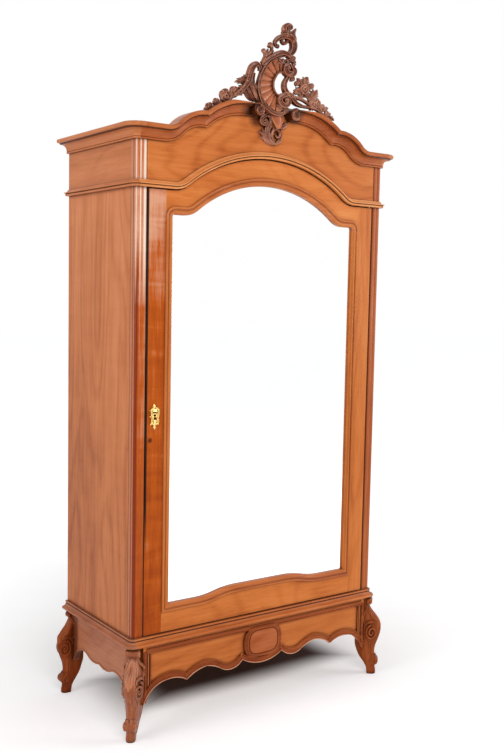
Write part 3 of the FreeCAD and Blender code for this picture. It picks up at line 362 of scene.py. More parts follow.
# A painted shadow on the frieze beside the pendant, laid as a dark spot
frieze_shadow_spot = ((-0.07, frieze_face - 0.012, 2.165), 0.034)
waxed = dict(rough=0.3, shine=0.2, wear_and_highlight=0.5)
# Legs: a stronger, wider painted corner shade and a glossier surface
leg_shade_and_gloss = dict(rough=0.28, shade_strength=1.1, corners=0.018, arris=0.003)
unwaxed = dict(figure=0.12, shade_strength=0.5, wear_and_highlight=0.1, rough=0.6)

upright_wood = cherry("upright_cherry", "Z", **honey)
# The left post also grows paler upwards, a painted sheen
left_post_wood = cherry("left_post_cherry", "Z", rough=0.28, coat=0.06, curly=0.3, rise=0.4,
                        shading_bands=reed_shade_and_highlight, **fiery)
right_post_wood = cherry("right_post_cherry", "Z", shading_bands=(post_gap,), **nutty)
lock_stile_wood = cherry("lock_stile_cherry", "Z", curly=0.6, rise=1.0, middle=1.45, knot=keyhole_knot,
                         shading_bands=(stile_gap,), **fiery)
glazing_wood = cherry("glazing_cherry", "Z", shading_bands=glazing_shade, **honey)
side_wood = cherry("side_cherry", "Z", figure=0.17, rough=0.42, rise=0.3, curly=0.15, **rosy)
frieze_wood = cherry("frieze_cherry", "X", figure=0.17, place=(0.62, 0, 0.12), knot=frieze_shadow_spot, **toasted)
rail_wood = cherry("rail_cherry", "X", place=(0.4, 0, 0), **golden)
apron_wood = cherry("apron_cherry", "X", place=(0.7, 0, 0.2), **tawny)
boss_wood = cherry("boss_cherry", "X", place=(0.7, 0, 0.2), **nutty)
border_wood = cherry("border_cherry", "X", rough=0.3, wear_and_highlight=0.4, **red)
# Dark strips that paint the shade in the slots at the apron's ends
groove_shade_wood = cherry("groove_shade_cherry", "Z", **groove_shade_tones)
# Pale strands that paint a highlight along the apron's lower edges
arris_highlight_wood = cherry("arris_highlight_cherry", "X", shade_strength=0.3, **arris_highlight_tones)
moulding_wood = cherry("moulding_cherry", "X", **waxed, **amber)
architrave_wood = cherry("architrave_cherry", "X", **waxed, **bright)
base_wood = cherry("base_cherry", "X", shading_bands=(base_groove,), **waxed, **amber)
hump_wood = cherry("hump_cherry", "X", shading_bands=(cornice_groove,), **waxed, **cornice_tone)
crown_wood = cherry("crown_cherry", "X", rough=0.3, shine=0.2, wear_and_highlight=0.4, shading_bands=(cornice_groove, crown_shade),
                    **cornice_tone)
return_wood = cherry("return_cherry", "Y", **rosy)
cornice_side_wood = cherry("cornice_side_cherry", "Y", shading_bands=(cornice_groove,), **rosy)
base_side_wood = cherry("base_side_cherry", "Y", shading_bands=(base_groove,), **dusky)
side_apron_wood = cherry("side_apron_cherry", "Y", shading_bands=(leg_shade,), **dusky)
shell_wood = cherry("shell_cherry", "X", wear_and_highlight=0.6, rough=0.3, shine=0.3, shade_strength=1.2, corners=0.02, arris=0.003,
                    **russet)
# Carved work: strong painted shade in its hollows and strong painted highlights on its edges
carved_wood = cherry("carved_cherry", "X", wear_and_highlight=1.6, rough=0.28, shine=0.3, shade_strength=1.3, corners=0.024,
                     arris=0.0025, **brown)
# Lit and shaded copies of the leg wood: painted light on the front left leg, painted shade on the others
lit_leg_wood = cherry("leg_cherry", "Z", coat=0.12, wear_and_highlight=0.9, shine=0.25, **leg_shade_and_gloss, **lit_leg_brown)
shaded_leg_wood = cherry("dark_leg_cherry", "Z", wear_and_highlight=0.6, shine=0.08, **leg_shade_and_gloss, **shaded_leg_brown)
inner_wood = cherry("inner_board", "Z", **unwaxed, **plain)
shelf_wood = cherry("shelf_board", "X", place=(0.2, 0, 0), **unwaxed, **plain)
glass = silvered_glass()
plate_brass = brass("plate_brass", (0.9, 0.66, 0.24), (0.3, 0.17, 0.05), 0.24)
pivot_brass = brass("pivot_brass", (0.72, 0.52, 0.22), (0.24, 0.15, 0.06), 0.36)
iron = dull_iron()

finishes = {
    "frieze_front": frieze_wood, "architrave_front": architrave_wood, "base_moulding_front": base_wood,
    "front_apron": apron_wood, "front_post_left": left_post_wood, "front_post_right": right_post_wood,
    "door_stile_left": lock_stile_wood, "door_stile_right": upright_wood,
    "door_top_rail": rail_wood, "door_bottom_rail": rail_wood,
    "mirror_moulding_top": moulding_wood, "mirror_moulding_bottom": moulding_wood,
    "top_board": shelf_wood, "bottom_board": shelf_wood,
    "shelf_lower": shelf_wood, "shelf_middle": shelf_wood, "shelf_upper": shelf_wood,
    "mirror_plate": glass, "escutcheon": plate_brass, "escutcheon_pins": plate_brass,
}
paired = {"side_panel": side_wood, "mirror_moulding": glazing_wood, "base_moulding": base_side_wood,
          "side_apron": side_apron_wood, "cornice_crown": crown_wood, "cornice_hump": hump_wood,
          "cornice_side": cornice_side_wood}
for name, wood in paired.items():
    finishes[name + "_left"] = wood
    finishes[name + "_right"] = wood
by_slot = {"cherry_wood": return_wood, "carved_wood": carved_wood, "interior_wood": inner_wood,
           "mirror_glass": glass, "brass": pivot_brass, "lock_steel": iron}
slots = {part["node"]: part["material_slot"] for part in frame["record"]["subparts"]}
for name, node in nodes.items():
    node.data.materials.clear()
    node.data.materials.append(finishes.get(name, by_slot[slots[name]]))


# Carving


def section(points):
    """Section of a carved strand, across and outward, counted in half widths."""
    data = bpy.data.curves.new("section", "CURVE")
    data.dimensions = "2D"
    spline = data.splines.new("POLY")
    spline.points.add(len(points) - 1)
    spline.use_cyclic_u = True
    for knot, (x, y) in zip(spline.points, points):
        knot.co = (x, y, 0, 1)
    drawn = bpy.data.objects.new("section", data)
    scene.collection.objects.link(drawn)
    return drawn


rimmed = section([(-1, 0), (-1, 0.75), (-0.86, 1), (-0.6, 1), (-0.42, 0.66), (0, 0.5), (0.42, 0.66), (0.6, 1),
                  (0.86, 1), (1, 0.75), (1, 0)])
ridged = section([(-1, 0), (-1, 0.35), (-0.6, 0.5), (-0.25, 0.78), (0, 1.15), (0.25, 0.78), (0.6, 0.5),
                  (1, 0.35), (1, 0)])
rounded = section([(-1, 0), (-0.96, 0.4), (-0.72, 0.78), (-0.38, 0.98), (0, 1.05), (0.38, 0.98), (0.72, 0.78),
                   (0.96, 0.4), (1, 0)])
banded = section([(-1, 0), (-1, 0.3), (-0.88, 0.44), (-0.7, 0.44), (-0.52, 0.2), (0, 0.12), (0.52, 0.2),
                  (0.7, 0.44), (0.88, 0.44), (1, 0.3), (1, 0)])
gadroon = section([(-1, 0), (-0.86, 0.3), (-0.5, 0.56), (0, 0.66), (0.5, 0.56), (0.86, 0.3), (1, 0)])
backing = section([(-1, 0), (-1, 0.12), (-0.8, 0.2), (0.8, 0.2), (1, 0.12), (1, 0)])
sections = (rimmed, ridged, rounded, banded, gadroon, backing)


def spread(values, count):
    """A few values spread evenly over so many points, with straight runs between them."""
    out = []
    for i in range(count):
        at = i * (len(values) - 1) / max(count - 1, 1)
        before = min(int(at), len(values) - 2) if len(values) > 1 else 0
        after = min(before + 1, len(values) - 1)
        out.append(values[before] + (values[after] - values[before]) * (at - before))
    return out


def spiral(x, z, outer, inner, start, turns, steps):
    """Points of a spiral about (x, z); start is in degrees, and turns below 0 run clockwise."""
    points = []
    for i in range(steps):
        share = i / (steps - 1)
        angle = math.radians(start) + turns * 2 * math.pi * share
        radius = outer + (inner - outer) * share
        points.append((x + radius * math.cos(angle), z + radius * math.sin(angle)))
    return points


def new_curve():
    """An empty curve for strands, smooth and closed at its ends."""
    data = bpy.data.curves.new("strand", "CURVE")
    data.dimensions = "3D"
    data.resolution_u = 5
    data.use_fill_caps = True
    return data


def add_run(data, knots):
    """Adds to a curve one smooth run through knots, each a place and a half width in millimetres."""
    spline = data.splines.new("BEZIER")
    spline.bezier_points.add(len(knots) - 1)
    for knot, (place, half) in zip(spline.bezier_points, knots):
        knot.co = [part * mm for part in place]
        knot.radius = half * mm
        knot.handle_left_type = "AUTO"
        knot.handle_right_type = "AUTO"


def swept_mesh(data):
    """Mesh of a curve with its section carried along it; the curve itself isn't kept."""
    holder = bpy.data.objects.new("strand", data)
    scene.collection.objects.link(holder)
    drawn = bpy.data.meshes.new_from_object(holder.evaluated_get(bpy.context.evaluated_depsgraph_get()))
    bpy.data.objects.remove(holder)
    bpy.data.curves.remove(data)
    return drawn


class Carving:
    """Carved work gathered in one mesh: strands and buds that stand on an upright plane and face -Y."""

    # Each strand's back is let in a little more than the last one's, so that neighbours don't share a plane
    laid = 0
    let_in_steps = 60
    let_in = 0.00002

    def __init__(self, back):
        self.bm = bmesh.new()
        self.back = back

    def strand(self, shape, points, widths, lift=0.0):
        """Carries a section along (x, z) points; it stands up from the plane to lift and over."""
        data = new_curve()
        data.twist_mode = "Z_UP"
        data.bevel_mode = "OBJECT"
        data.bevel_object = shape
        add_run(data, [((x, z, 0), half) for (x, z), half in zip(points, spread(widths, len(points)))])
        drawn = swept_mesh(data)
        Carving.laid += 1
        sunk = Carving.laid % Carving.let_in_steps * Carving.let_in
        for vert in drawn.vertices:
            x, z, out = vert.co
            vert.co = (x, self.back - out - lift * mm if out > 1e-6 else self.back + sunk, z)
        self.bm.from_mesh(drawn)
        bpy.data.meshes.remove(drawn)

    def curl(self, x, z, radius, width, start, turns, lift):
        """A spiral strand that tightens to its middle."""
        points = spiral(x, z, radius - width, width * 0.5, start, turns, 12)
        self.strand(rounded, points, (width, width * 0.8, width * 0.7), lift)

    def bud(self, x, z, radius, out, lift):
        """A swollen bud or knob."""
        place = (Matrix.Translation((x * mm, self.back - lift * mm, z * mm))
                 @ Matrix.Diagonal((radius * mm, out * mm, radius * mm, 1)))
        bmesh.ops.create_uvsphere(self.bm, u_segments=14, v_segments=9, radius=1, matrix=place)

    def leaf(self, root, tip, width, bend, lift, lobes):
        """A pointed leaf from root to tip with a ridge, bent sideways, with side lobes along it."""
        (x0, z0), (x1, z1) = root, tip
        dx, dz = x1 - x0, z1 - z0
        length = math.hypot(dx, dz)
        nx, nz = -dz / length, dx / length

        def at(share, aside):
            belly = bend * 4 * share * (1 - share)
            return x0 + dx * share + nx * (belly + aside), z0 + dz * share + nz * (belly + aside)
        self.strand(ridged, [at(share, 0) for share in (0, 0.25, 0.5, 0.8, 1)],
                    (width * 0.35, width * 0.75, width * 0.7, 0.6), lift)
        for i in range(lobes):
            share = 0.12 + 0.6 * i / lobes
            reach = width * (1.25 - 0.5 * share)
            for side in (1, -1):
                lobe = [at(share, 0), at(share + 0.13, side * reach * 0.6), at(share + 0.3, side * reach)]
                self.strand(ridged, lobe, (width * 0.2, width * 0.3, 0.5), lift * 0.7)

    def rose(self, x, z, radius, start, lift):
        """A rose of petals rolled one over the other round a curled heart."""
        for i in range(5):
            petal = spiral(x, z, radius * 0.8, radius * 0.66, start + 72 * i, 0.3, 5)
            self.strand(rounded, petal, (radius * 0.12, radius * 0.3, radius * 0.26, radius * 0.1), lift)
        heart = spiral(x, z, radius * 0.46, radius * 0.14, start + 40, 1.5, 11)
        self.strand(rounded, heart, (radius * 0.2, radius * 0.14), lift + radius * 0.1)

    def done(self, name, finish, body, slot, *stands_for):
        made_piece(self.bm, name, finish, body, slot, *stands_for)


def made_piece(bm, name, finish, body, slot, *stands_for, crease=38):
    """Closes a mesh, turns its faces outwards and makes it a piece that rides on a body."""
    bmesh.ops.remove_doubles(bm, verts=bm.verts, dist=0.00001)
    bmesh.ops.recalc_face_normals(bm, faces=bm.faces)
    mesh = bpy.data.meshes.new(name)
    bm.to_mesh(mesh)
    bm.free()
    for face in mesh.polygons:
        face.use_smooth = True
    mesh.set_sharp_from_angle(angle=math.radians(crease))
    mesh.materials.append(finish)
    piece = bpy.data.objects.new(name, mesh)
    scene.collection.objects.link(piece)
    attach(piece, body)
    if stands_for:
        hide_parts(*stands_for)


# Crest

crest_back = door_face - 0.016


def shell_ribs():
    """Broad ribs of the shell on a thin crescent, round an oval hole, with a smooth swelling below."""
    work = Carving(crest_back)
    work.strand(backing, [(30, 2374), (0, 2362), (-24, 2344), (-37, 2320), (-40, 2294), (-35, 2268),
                          (-20, 2244), (6, 2228)], (24, 29, 29, 29, 24))
    ribs = [((28, 2344), (26, 2392)), ((15, 2341), (-4, 2384)), ((3, 2333), (-30, 2366)),
            ((-5, 2323), (-50, 2343)), ((-10, 2311), (-63, 2318)), ((-12, 2299), (-69, 2291)),
            ((-11, 2287), (-67, 2265)), ((-7, 2276), (-56, 2241)), ((0, 2268), (-38, 2223)),
            ((8, 2263), (-14, 2209)), ((18, 2262), (16, 2206))]
    for (x0, z0), (x1, z1) in ribs:
        middle = ((x0 + x1) / 2, (z0 + z1) / 2)
        work.strand(gadroon, [(x0, z0), middle, (x1, z1)], (6, 11.5, 15.5), 4)
    work.strand(gadroon, [(14, 2208), (20, 2178), (25, 2146)], (32, 26, 10), -8)
    work.done("carved_shell_ribs", shell_wood, "cabinet", "carved_wood", "crest_shell")


def crest_shell():
    """Rimmed C round the ribs, with scrolls on its right and leaves at both ends."""
    work = Carving(crest_back)
    work.strand(rimmed, [(37, 2405), (1, 2394), (-31, 2375), (-54, 2347), (-69, 2316), (-77, 2282),
                         (-71, 2251), (-54, 2221), (-28, 2203), (2, 2194), (32, 2200), (55, 2223)],
                (5, 7, 7, 7, 5), 10)
    work.strand(rounded, [(36, 2347), (11, 2340), (-6, 2320), (-13, 2298), (-8, 2276), (8, 2262), (24, 2264)],
                (3, 4, 4, 3), 12)
    work.strand(rimmed, [(67, 2323), (78, 2327), (61, 2335), (44, 2319), (37, 2298), (45, 2279), (67, 2265),
                         (88, 2246), (115, 2238), (139, 2236)], (4, 6, 8, 9, 8, 3), 10)
    work.strand(rimmed, [(81, 2265), (65, 2271), (34, 2265), (14, 2248), (22, 2231), (46, 2231), (57, 2247),
                         (46, 2256), (37, 2248)], (4, 9, 11, 8, 4), 12)
    work.strand(rimmed, [(87, 2383), (73, 2371), (80, 2354), (63, 2342), (41, 2348), (38, 2364), (53, 2373),
                         (64, 2365)], (3, 9, 11, 12, 9, 6), 10)
    work.bud(55, 2361, 9, 10, 8)
    work.leaf((30, 2392), (-5, 2372), 9, 4, 12, 2)
    work.leaf((55, 2396), (90, 2386), 9, 3, 10, 2)
    work.leaf((46, 2395), (52, 2368), 8, 3, 10, 2)
    work.leaf((10, 2396), (14, 2374), 7, 2, 10, 1)
    work.leaf((2, 2228), (34, 2206), 10, 4, 10, 2)
    work.leaf((36, 2232), (66, 2206), 10, -4, 8, 2)
    work.leaf((28, 2226), (46, 2198), 8, 3, 10, 2)
    work.curl(46, 2246, 13, 4, 30, 1.4, 16)
    work.done("carved_shell", carved_wood, "cabinet", "carved_wood")


def crest_top_scroll():
    """Open C-scroll with a plume on top, and a raking scroll with leaves and curls below it."""
    work = Carving(crest_back)
    work.strand(rimmed, [(24, 2412), (50, 2411), (70, 2424), (76, 2446), (68, 2464), (48, 2473), (22, 2469),
                         (3, 2457), (-6, 2442), (5, 2430)], (5, 11, 13, 12, 9, 7, 4), 6)
    work.strand(rounded, [(50, 2461), (43, 2451), (30, 2449), (24, 2457), (33, 2462)], (6, 6, 4), 6)
    work.strand(ridged, [(52, 2475), (41, 2487), (37, 2500), (45, 2511), (58, 2515), (69, 2511), (65, 2503)],
                (9, 11, 9, 7, 4), 5)
    work.strand(ridged, [(60, 2478), (55, 2490), (54, 2501), (60, 2507)], (8, 7, 3), 8)
    work.strand(ridged, [(42, 2474), (30, 2479), (26, 2490)], (6, 6, 1), 4)
    work.strand(ridged, [(37, 2491), (29, 2498), (30, 2507)], (5, 4, 1), 4)
    work.strand(ridged, [(78, 2455), (79, 2470), (75, 2486), (88, 2508)], (9, 11, 10, 3), 6)
    work.strand(rounded, [(-22, 2436), (-18, 2420), (-27, 2403), (-44, 2388)], (5, 6, 7), 5)
    work.strand(ridged, [(-56, 2409), (-46, 2396), (-50, 2381), (-62, 2364)], (4, 8, 6), 6)
    work.strand(ridged, [(-34, 2418), (-41, 2401), (-46, 2385)], (3, 6, 5), 4)
    work.strand(ridged, [(-10, 2416), (-24, 2404), (-40, 2396)], (2, 6, 5), 6)
    work.strand(rimmed, [(-64, 2356), (-46, 2375), (-17, 2394), (13, 2410), (39, 2411), (61, 2403),
                         (76, 2404)], (4, 8, 9, 9, 7, 5), 12)
    work.curl(-27, 2434, 13, 4.5, 200, 1.3, 6)
    work.curl(-54, 2408, 10, 3.6, 20, 1.2, 5)
    work.curl(80, 2403, 9, 3.4, 180, 1.3, 10)
    work.bud(3, 2432, 8, 9, 9)
    work.leaf((10, 2402), (-28, 2392), 7, -3, 8, 2)
    work.done("carved_scroll", carved_wood, "cabinet", "carved_wood", "crest_top_scroll")


def crest_spray_left():
    """Acanthus stem with a curled head and leaves, and a trail of four roses."""
    work = Carving(crest_back)
    work.strand(rimmed, [(-72, 2336), (-74, 2352), (-89, 2356), (-104, 2345), (-114, 2322), (-124, 2292),
                         (-151, 2258), (-180, 2236)], (4, 7, 11, 12, 12, 9, 5), 6)
    work.leaf((-114, 2292), (-176, 2283), 10, -5, 6, 3)
    work.leaf((-112, 2318), (-146, 2306), 8, 4, 5, 2)
    work.leaf((-130, 2284), (-166, 2264), 9, 4, 4, 2)
    work.strand(ridged, [(-116, 2298), (-102, 2270), (-86, 2246), (-60, 2220)], (4, 8, 8, 2), 8)
    work.strand(ridged, [(-124, 2284), (-114, 2260), (-98, 2240), (-72, 2224)], (4, 8, 7, 2), 5)
    work.strand(ridged, [(-92, 2326), (-98, 2299), (-90, 2272), (-72, 2246)], (4, 7, 7, 2), 5)
    work.strand(ridged, [(-132, 2272), (-126, 2250), (-112, 2236), (-92, 2228)], (4, 7, 6, 2), 3)
    work.leaf((-104, 2276), (-84, 2232), 8, 3, 10, 3)
    work.leaf((-96, 2290), (-76, 2258), 7, 3, 9, 2)
    work.leaf((-140, 2268), (-160, 2240), 10, 3, 4, 2)
    work.strand(rounded, [(-170, 2240), (-203, 2219), (-238, 2199), (-278, 2176)], (6, 6, 5, 3), 1)
    work.rose(-176, 2250, 20, 20, 3)
    work.rose(-213, 2230, 26, 50, 4)
    work.rose(-250, 2205, 15, 10, 2)
    work.rose(-277, 2184, 18, 35, 2)
    work.leaf((-228, 2213), (-246, 2188), 9, 2, 2, 2)
    work.leaf((-196, 2230), (-190, 2210), 8, 2, 2, 1)
    work.leaf((-262, 2192), (-302, 2174), 9, -2, 1, 2)
    work.done("carved_spray_left", carved_wood, "cabinet", "carved_wood", "crest_spray_left")


def crest_spray_right():
    """Branches of roses and pointed leaves that lie along the arch."""
    work = Carving(crest_back)
    work.strand(rounded, [(67, 2271), (92, 2266), (132, 2259), (169, 2243), (220, 2224), (270, 2201)],
                (5, 6, 6, 5, 3), 4)
    work.strand(rounded, [(87, 2279), (104, 2294), (118, 2300), (134, 2302)], (5, 5, 4), 4)
    work.strand(rounded, [(100, 2242), (132, 2238), (165, 2238), (190, 2236)], (5, 6, 5), 3)
    work.rose(132, 2300, 22, 15, 7)
    work.leaf((134, 2312), (151, 2347), 17, 2, 4, 2)
    work.leaf((146, 2304), (182, 2321), 16, 2, 4, 1)
    work.leaf((122, 2310), (100, 2336), 12, -2, 4, 1)
    work.leaf((120, 2292), (86, 2292), 14, 3, 4, 2)
    work.leaf((138, 2288), (160, 2268), 13, 2, 3, 1)
    work.leaf((124, 2286), (112, 2262), 11, 2, 3, 1)
    work.curl(98, 2314, 13, 4.5, 0, 1.2, 4)
    work.leaf((154, 2260), (197, 2308), 18, -4, 4, 3)
    work.rose(194, 2257, 19, 40, 5)
    work.rose(170, 2252, 14, 0, 4)
    work.rose(222, 2244, 15, 25, 4)
    work.rose(206, 2236, 12, 70, 3)
    work.rose(245, 2228, 11, 55, 3)
    work.leaf((226, 2240), (254, 2246), 9, 2, 2, 1)
    work.leaf((180, 2244), (160, 2230), 9, 2, 2, 1)
    work.leaf((200, 2246), (218, 2222), 9, 2, 2, 1)
    work.leaf((246, 2220), (285, 2205), 10, 2, 1, 2)
    work.leaf((250, 2222), (268, 2228), 7, 2, 1, 1)
    work.done("carved_spray_right", carved_wood, "cabinet", "carved_wood", "crest_spray_right")


def crest_pendant():
    """Drop of acanthus fronds on the frieze under the shell, below a smooth swelling."""
    work = Carving(door_face)
    work.strand(ridged, [(-33, 2190), (-14, 2186), (-7, 2165), (-17, 2139), (-12, 2112), (10, 2089)],
                (4, 6, 7, 6, 2), 9)
    work.strand(ridged, [(-24, 2176), (-17, 2160), (-26, 2138), (-20, 2112), (6, 2089)], (3, 6, 6, 5, 2), 6)
    work.strand(rimmed, [(-6, 2196), (-33, 2188), (-52, 2170), (-36, 2156), (-26, 2168), (-36, 2174)],
                (5, 7, 7, 5, 4), 8)
    work.strand(ridged, [(-58, 2127), (-42, 2125), (-28, 2106), (2, 2089)], (1, 7, 6, 2), 3)
    work.strand(ridged, [(-44, 2138), (-32, 2128), (-20, 2106), (6, 2088)], (2, 6, 6, 2), 6)
    work.strand(ridged, [(-52, 2112), (-38, 2110), (-22, 2098), (4, 2088)], (1, 5, 5, 2), 1)
    work.strand(ridged, [(76, 2168), (56, 2160), (38, 2144), (42, 2122), (20, 2092)], (1, 6, 7, 6, 2), 4)
    work.strand(rounded, [(18, 2090), (2, 2106), (-2, 2126), (10, 2142), (28, 2140), (34, 2126), (24, 2116),
                          (15, 2122)], (2, 5, 6, 6, 6, 5, 3), 8)
    work.strand(ridged, [(47, 2116), (38, 2104), (26, 2096), (12, 2090)], (1, 5, 5, 2), 5)
    work.strand(ridged, [(8, 2150), (0, 2134), (-8, 2112), (8, 2090)], (2, 4, 4, 2), 9)
    work.leaf((48, 2152), (74, 2178), 8, -3, 4, 2)
    work.curl(62, 2166, 9, 3, 30, 1.2, 6)
    work.bud(-37, 2170, 5, 7, 10)
    work.done("carved_pendant", carved_wood, "cabinet", "carved_wood", "crest_pendant")


def volutes():
    """Curled ends of the broken cornice."""
    lo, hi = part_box("cornice_crown_right")
    radius, drop = 22.0, 5.0
    work = Carving(lo.y + 0.006)
    for side in (1, -1):
        x = side * (lo.x / mm + radius)
        z = hi.z / mm - radius - drop
        work.strand(rounded, spiral(x, z, radius - 4.5, 5, 90, side * 1.6, 16), (5, 5, 4, 3), 0.5)
    work.done("carved_volutes", carved_wood, "cabinet", "carved_wood")


shell_ribs()
crest_shell()
crest_top_scroll()
crest_spray_left()
crest_spray_right()
crest_pendant()
volutes()


# Legs


def eased(stations, z, column):
    """Value of one column at height z, on a smooth line through the stations."""
    i = 0
    while i < len(stations) - 2 and stations[i + 1][0] <= z:
        i += 1
    before, lower = stations[max(i - 1, 0)], stations[i]
    upper, after = stations[i + 1], stations[min(i + 2, len(stations) - 1)]
    run = upper[0] - lower[0]
    share = (z - lower[0]) / run

    def slope(a, b):
        return (b[column] - a[column]) / max(b[0] - a[0], 0.001)
    leaving = slope(before, upper) * run
    arriving = slope(lower, after) * run
    square, cube = share * share, share ** 3
    return (lower[column] * (2 * cube - 3 * square + 1) + leaving * (cube - 2 * square + share)
            + upper[column] * (3 * square - 2 * cube) + arriving * (cube - square))


# Height, how far out the front and how far back the root is, half width, how much wider a front leg's root is
leg_stations = [(0, 19, -16, 16, 0), (10, 20, -17, 17, 0), (28, 17, -20, 17, 1), (44, 18, -28, 18, 2),
                (58, 20, -38, 18.5, 3), (72, 18, -48, 18.5, 5), (86, 14, -55, 18, 8), (102, 14, -61, 18, 10),
                (122, 18, -67, 19, 12), (147, 27, -68, 20, 13), (175, 35, -68, 20.5, 13),
                (200, 36.5, -68, 21, 13), (226, 28, -68, 21, 13), (250, 10, -68, 21.5, 13),
                (270, -5, -68, 22, 13), (286, -12, -68, 22, 12), (319, -12, -68, 22, 12)]
leg_top = leg_stations[-1][0]
# Length of the rounded front, share of the rest over which the root widens, and how square the root is cut
nose = 21.0
root_share = 0.3
squareness = 0.35


def leg_sizes(z):
    """Front, root, half width and widening of a leg at height z, and where its rounded front begins."""
    out, rear, half, wider = (eased(leg_stations, z, column) for column in (1, 2, 3, 4))
    return out, rear, half, wider, out - min(nose, (out - rear) * 0.5)


def leg_side(z, u, splay, lift):
    """Where a point of the flank at height z, so far along it and raised by so much, lies: (out, aside)."""
    out, rear, half, wider, shank = leg_sizes(z)
    if u > shank:
        turn = min((u - shank) / nose, 1.45)
        return shank + (out - shank + lift) * math.sin(turn), (half + lift) * math.cos(turn)
    share = min((shank - u) / (shank - rear), 0.985)
    across = math.sqrt(1 - share ** (2 / squareness)) ** squareness
    return u, (half + wider * splay * min(share / root_share, 1)) * across + lift


def leg_body(bm, splay):
    """The swelling body of a leg, raised from a ring and then pushed out level by level."""
    rounds, levels = 48, 72
    ring = bmesh.ops.create_circle(bm, cap_ends=True, segments=rounds, radius=1)["verts"]
    edges = list({edge for vert in ring for edge in vert.link_edges if all(v in ring for v in edge.verts)})
    for _ in range(levels):
        grown = bmesh.ops.extrude_edge_only(bm, edges=edges)["geom"]
        raised = [item for item in grown if isinstance(item, bmesh.types.BMVert)]
        edges = [item for item in grown if isinstance(item, bmesh.types.BMEdge)]
        bmesh.ops.translate(bm, verts=raised, vec=(0, 0, 1))
    bmesh.ops.edgeloop_fill(bm, edges=edges)
    for vert in bm.verts:
        z = vert.co.z * leg_top / levels
        out, rear, half, wider, shank = leg_sizes(z)
        angle = math.atan2(vert.co.y, vert.co.x)
        across, along = math.sin(angle), math.cos(angle)
        if along >= 0:
            u, v = shank + (out - shank) * along, half * across
        else:
            share = abs(along) ** squareness
            u = shank + (rear - shank) * share
            v = half + wider * splay * min(share / root_share, 1)
            v *= math.copysign(abs(across) ** squareness, across)
        vert.co = (u * mm, v * mm, z * mm)


def leg_flank(splay, reach):
    """Carving laid on one flank: an oval scroll under a hood, a stem, fine lines and the edge bead."""
    flank = Carving(0.0)
    scroll_z, oval = 178, 1.4
    scroll = spiral(reach, scroll_z, 23, 3.5, 100, 1.85, 36)
    flank.strand(rounded, [(x, scroll_z + (z - scroll_z) * oval) for x, z in scroll],
                 (4.6, 4.8, 4.4, 4, 3.2), 0.6)
    hood = [(reach - 29, 192), (reach - 25, 212), (reach - 8, 223), (reach + 12, 218), (reach + 16, 206)]
    flank.strand(rimmed, hood, (2.4, 4.2, 4.6, 4, 2), 0.2)
    stem = [(-16, 292), (-22, 276), (-32, 256), (-36, 236), (reach - 26, 212)]
    flank.strand(ridged, stem, (3, 4.4, 4.6, 4.4, 2.2), 0.2)
    flank.strand(ridged, [(-14, 284), (-10, 266), (0, 246), (10, 230)], (2, 4, 4, 2), 0.2)
    for x in (-7, 1):
        flank.strand(rounded, [(x, 138), (x, 112), (x + 1, 86)], (1.5, 1.5, 0.8), 0.3)
    flank.strand(rounded, [(-14, 24), (-22, 42), (-32, 57), (-42, 72), (-49, 86), (-55, 104), (-60, 124)],
                 (1.4, 2.2, 2.6, 2.6, 2.2), 0.3)
    for vert in flank.bm.verts:
        u, v = leg_side(vert.co.z / mm, vert.co.x / mm, splay, -vert.co.y / mm)
        vert.co = (u * mm, -v * mm, vert.co.z)
    return flank.bm


def both_flanks(bm, drawn):
    """Adds a piece of carving and its mirror image to a leg."""
    spare = bpy.data.meshes.new("flank")
    for turned in (1, -1):
        bmesh.ops.scale(drawn, verts=drawn.verts, vec=(1, turned, 1))
        bmesh.ops.recalc_face_normals(drawn, faces=drawn.faces)
        drawn.to_mesh(spare)
        bm.from_mesh(spare)
    bpy.data.meshes.remove(spare)
    drawn.free()


def leg_roll(bm, z, u, radius, half, start, turns):
    """A small barrel across the leg with a spiral cut on each end."""
    soft = 4
    lying = Matrix.Translation((u * mm, 0, z * mm)) @ Matrix.Rotation(math.pi / 2, 4, "X")
    roll = bmesh.ops.create_cone(bm, cap_ends=True, segments=32, radius1=radius * mm, radius2=radius * mm,
                                 depth=2 * half * mm, matrix=lying)["verts"]
    rims = list({edge for vert in roll for edge in vert.link_edges if len(edge.link_faces) == 2
                 and any(len(face.verts) > 4 for face in edge.link_faces)})
    bmesh.ops.bevel(bm, geom=rims, offset=soft * mm, segments=4, profile=0.5, affect="EDGES", material=-1)
    end = Carving(-half * mm)
    end.strand(rounded, spiral(u, z, radius * 0.66, 2, start, turns, 14),
               (radius * 0.25, radius * 0.2, radius * 0.14), -0.8)
    both_flanks(bm, end.bm)


def leg_collar(bm):
    """Upright swellings round the front of the ankle."""
    collar_z, middle, radius = 72, 1, 17
    thick, wide, tall = 3.6, 6.8, 10
    for degrees in (-62, -24, 24, 62):
        angle = math.radians(degrees)
        place = (middle + radius * math.cos(angle), radius * math.sin(angle), collar_z)
        at = (Matrix.Translation([part * mm for part in place]) @ Matrix.Rotation(angle, 4, "Z")
              @ Matrix.Diagonal((thick * mm, wide * mm, tall * mm, 1)))
        bmesh.ops.create_uvsphere(bm, u_segments=18, v_segments=12, radius=1, matrix=at)


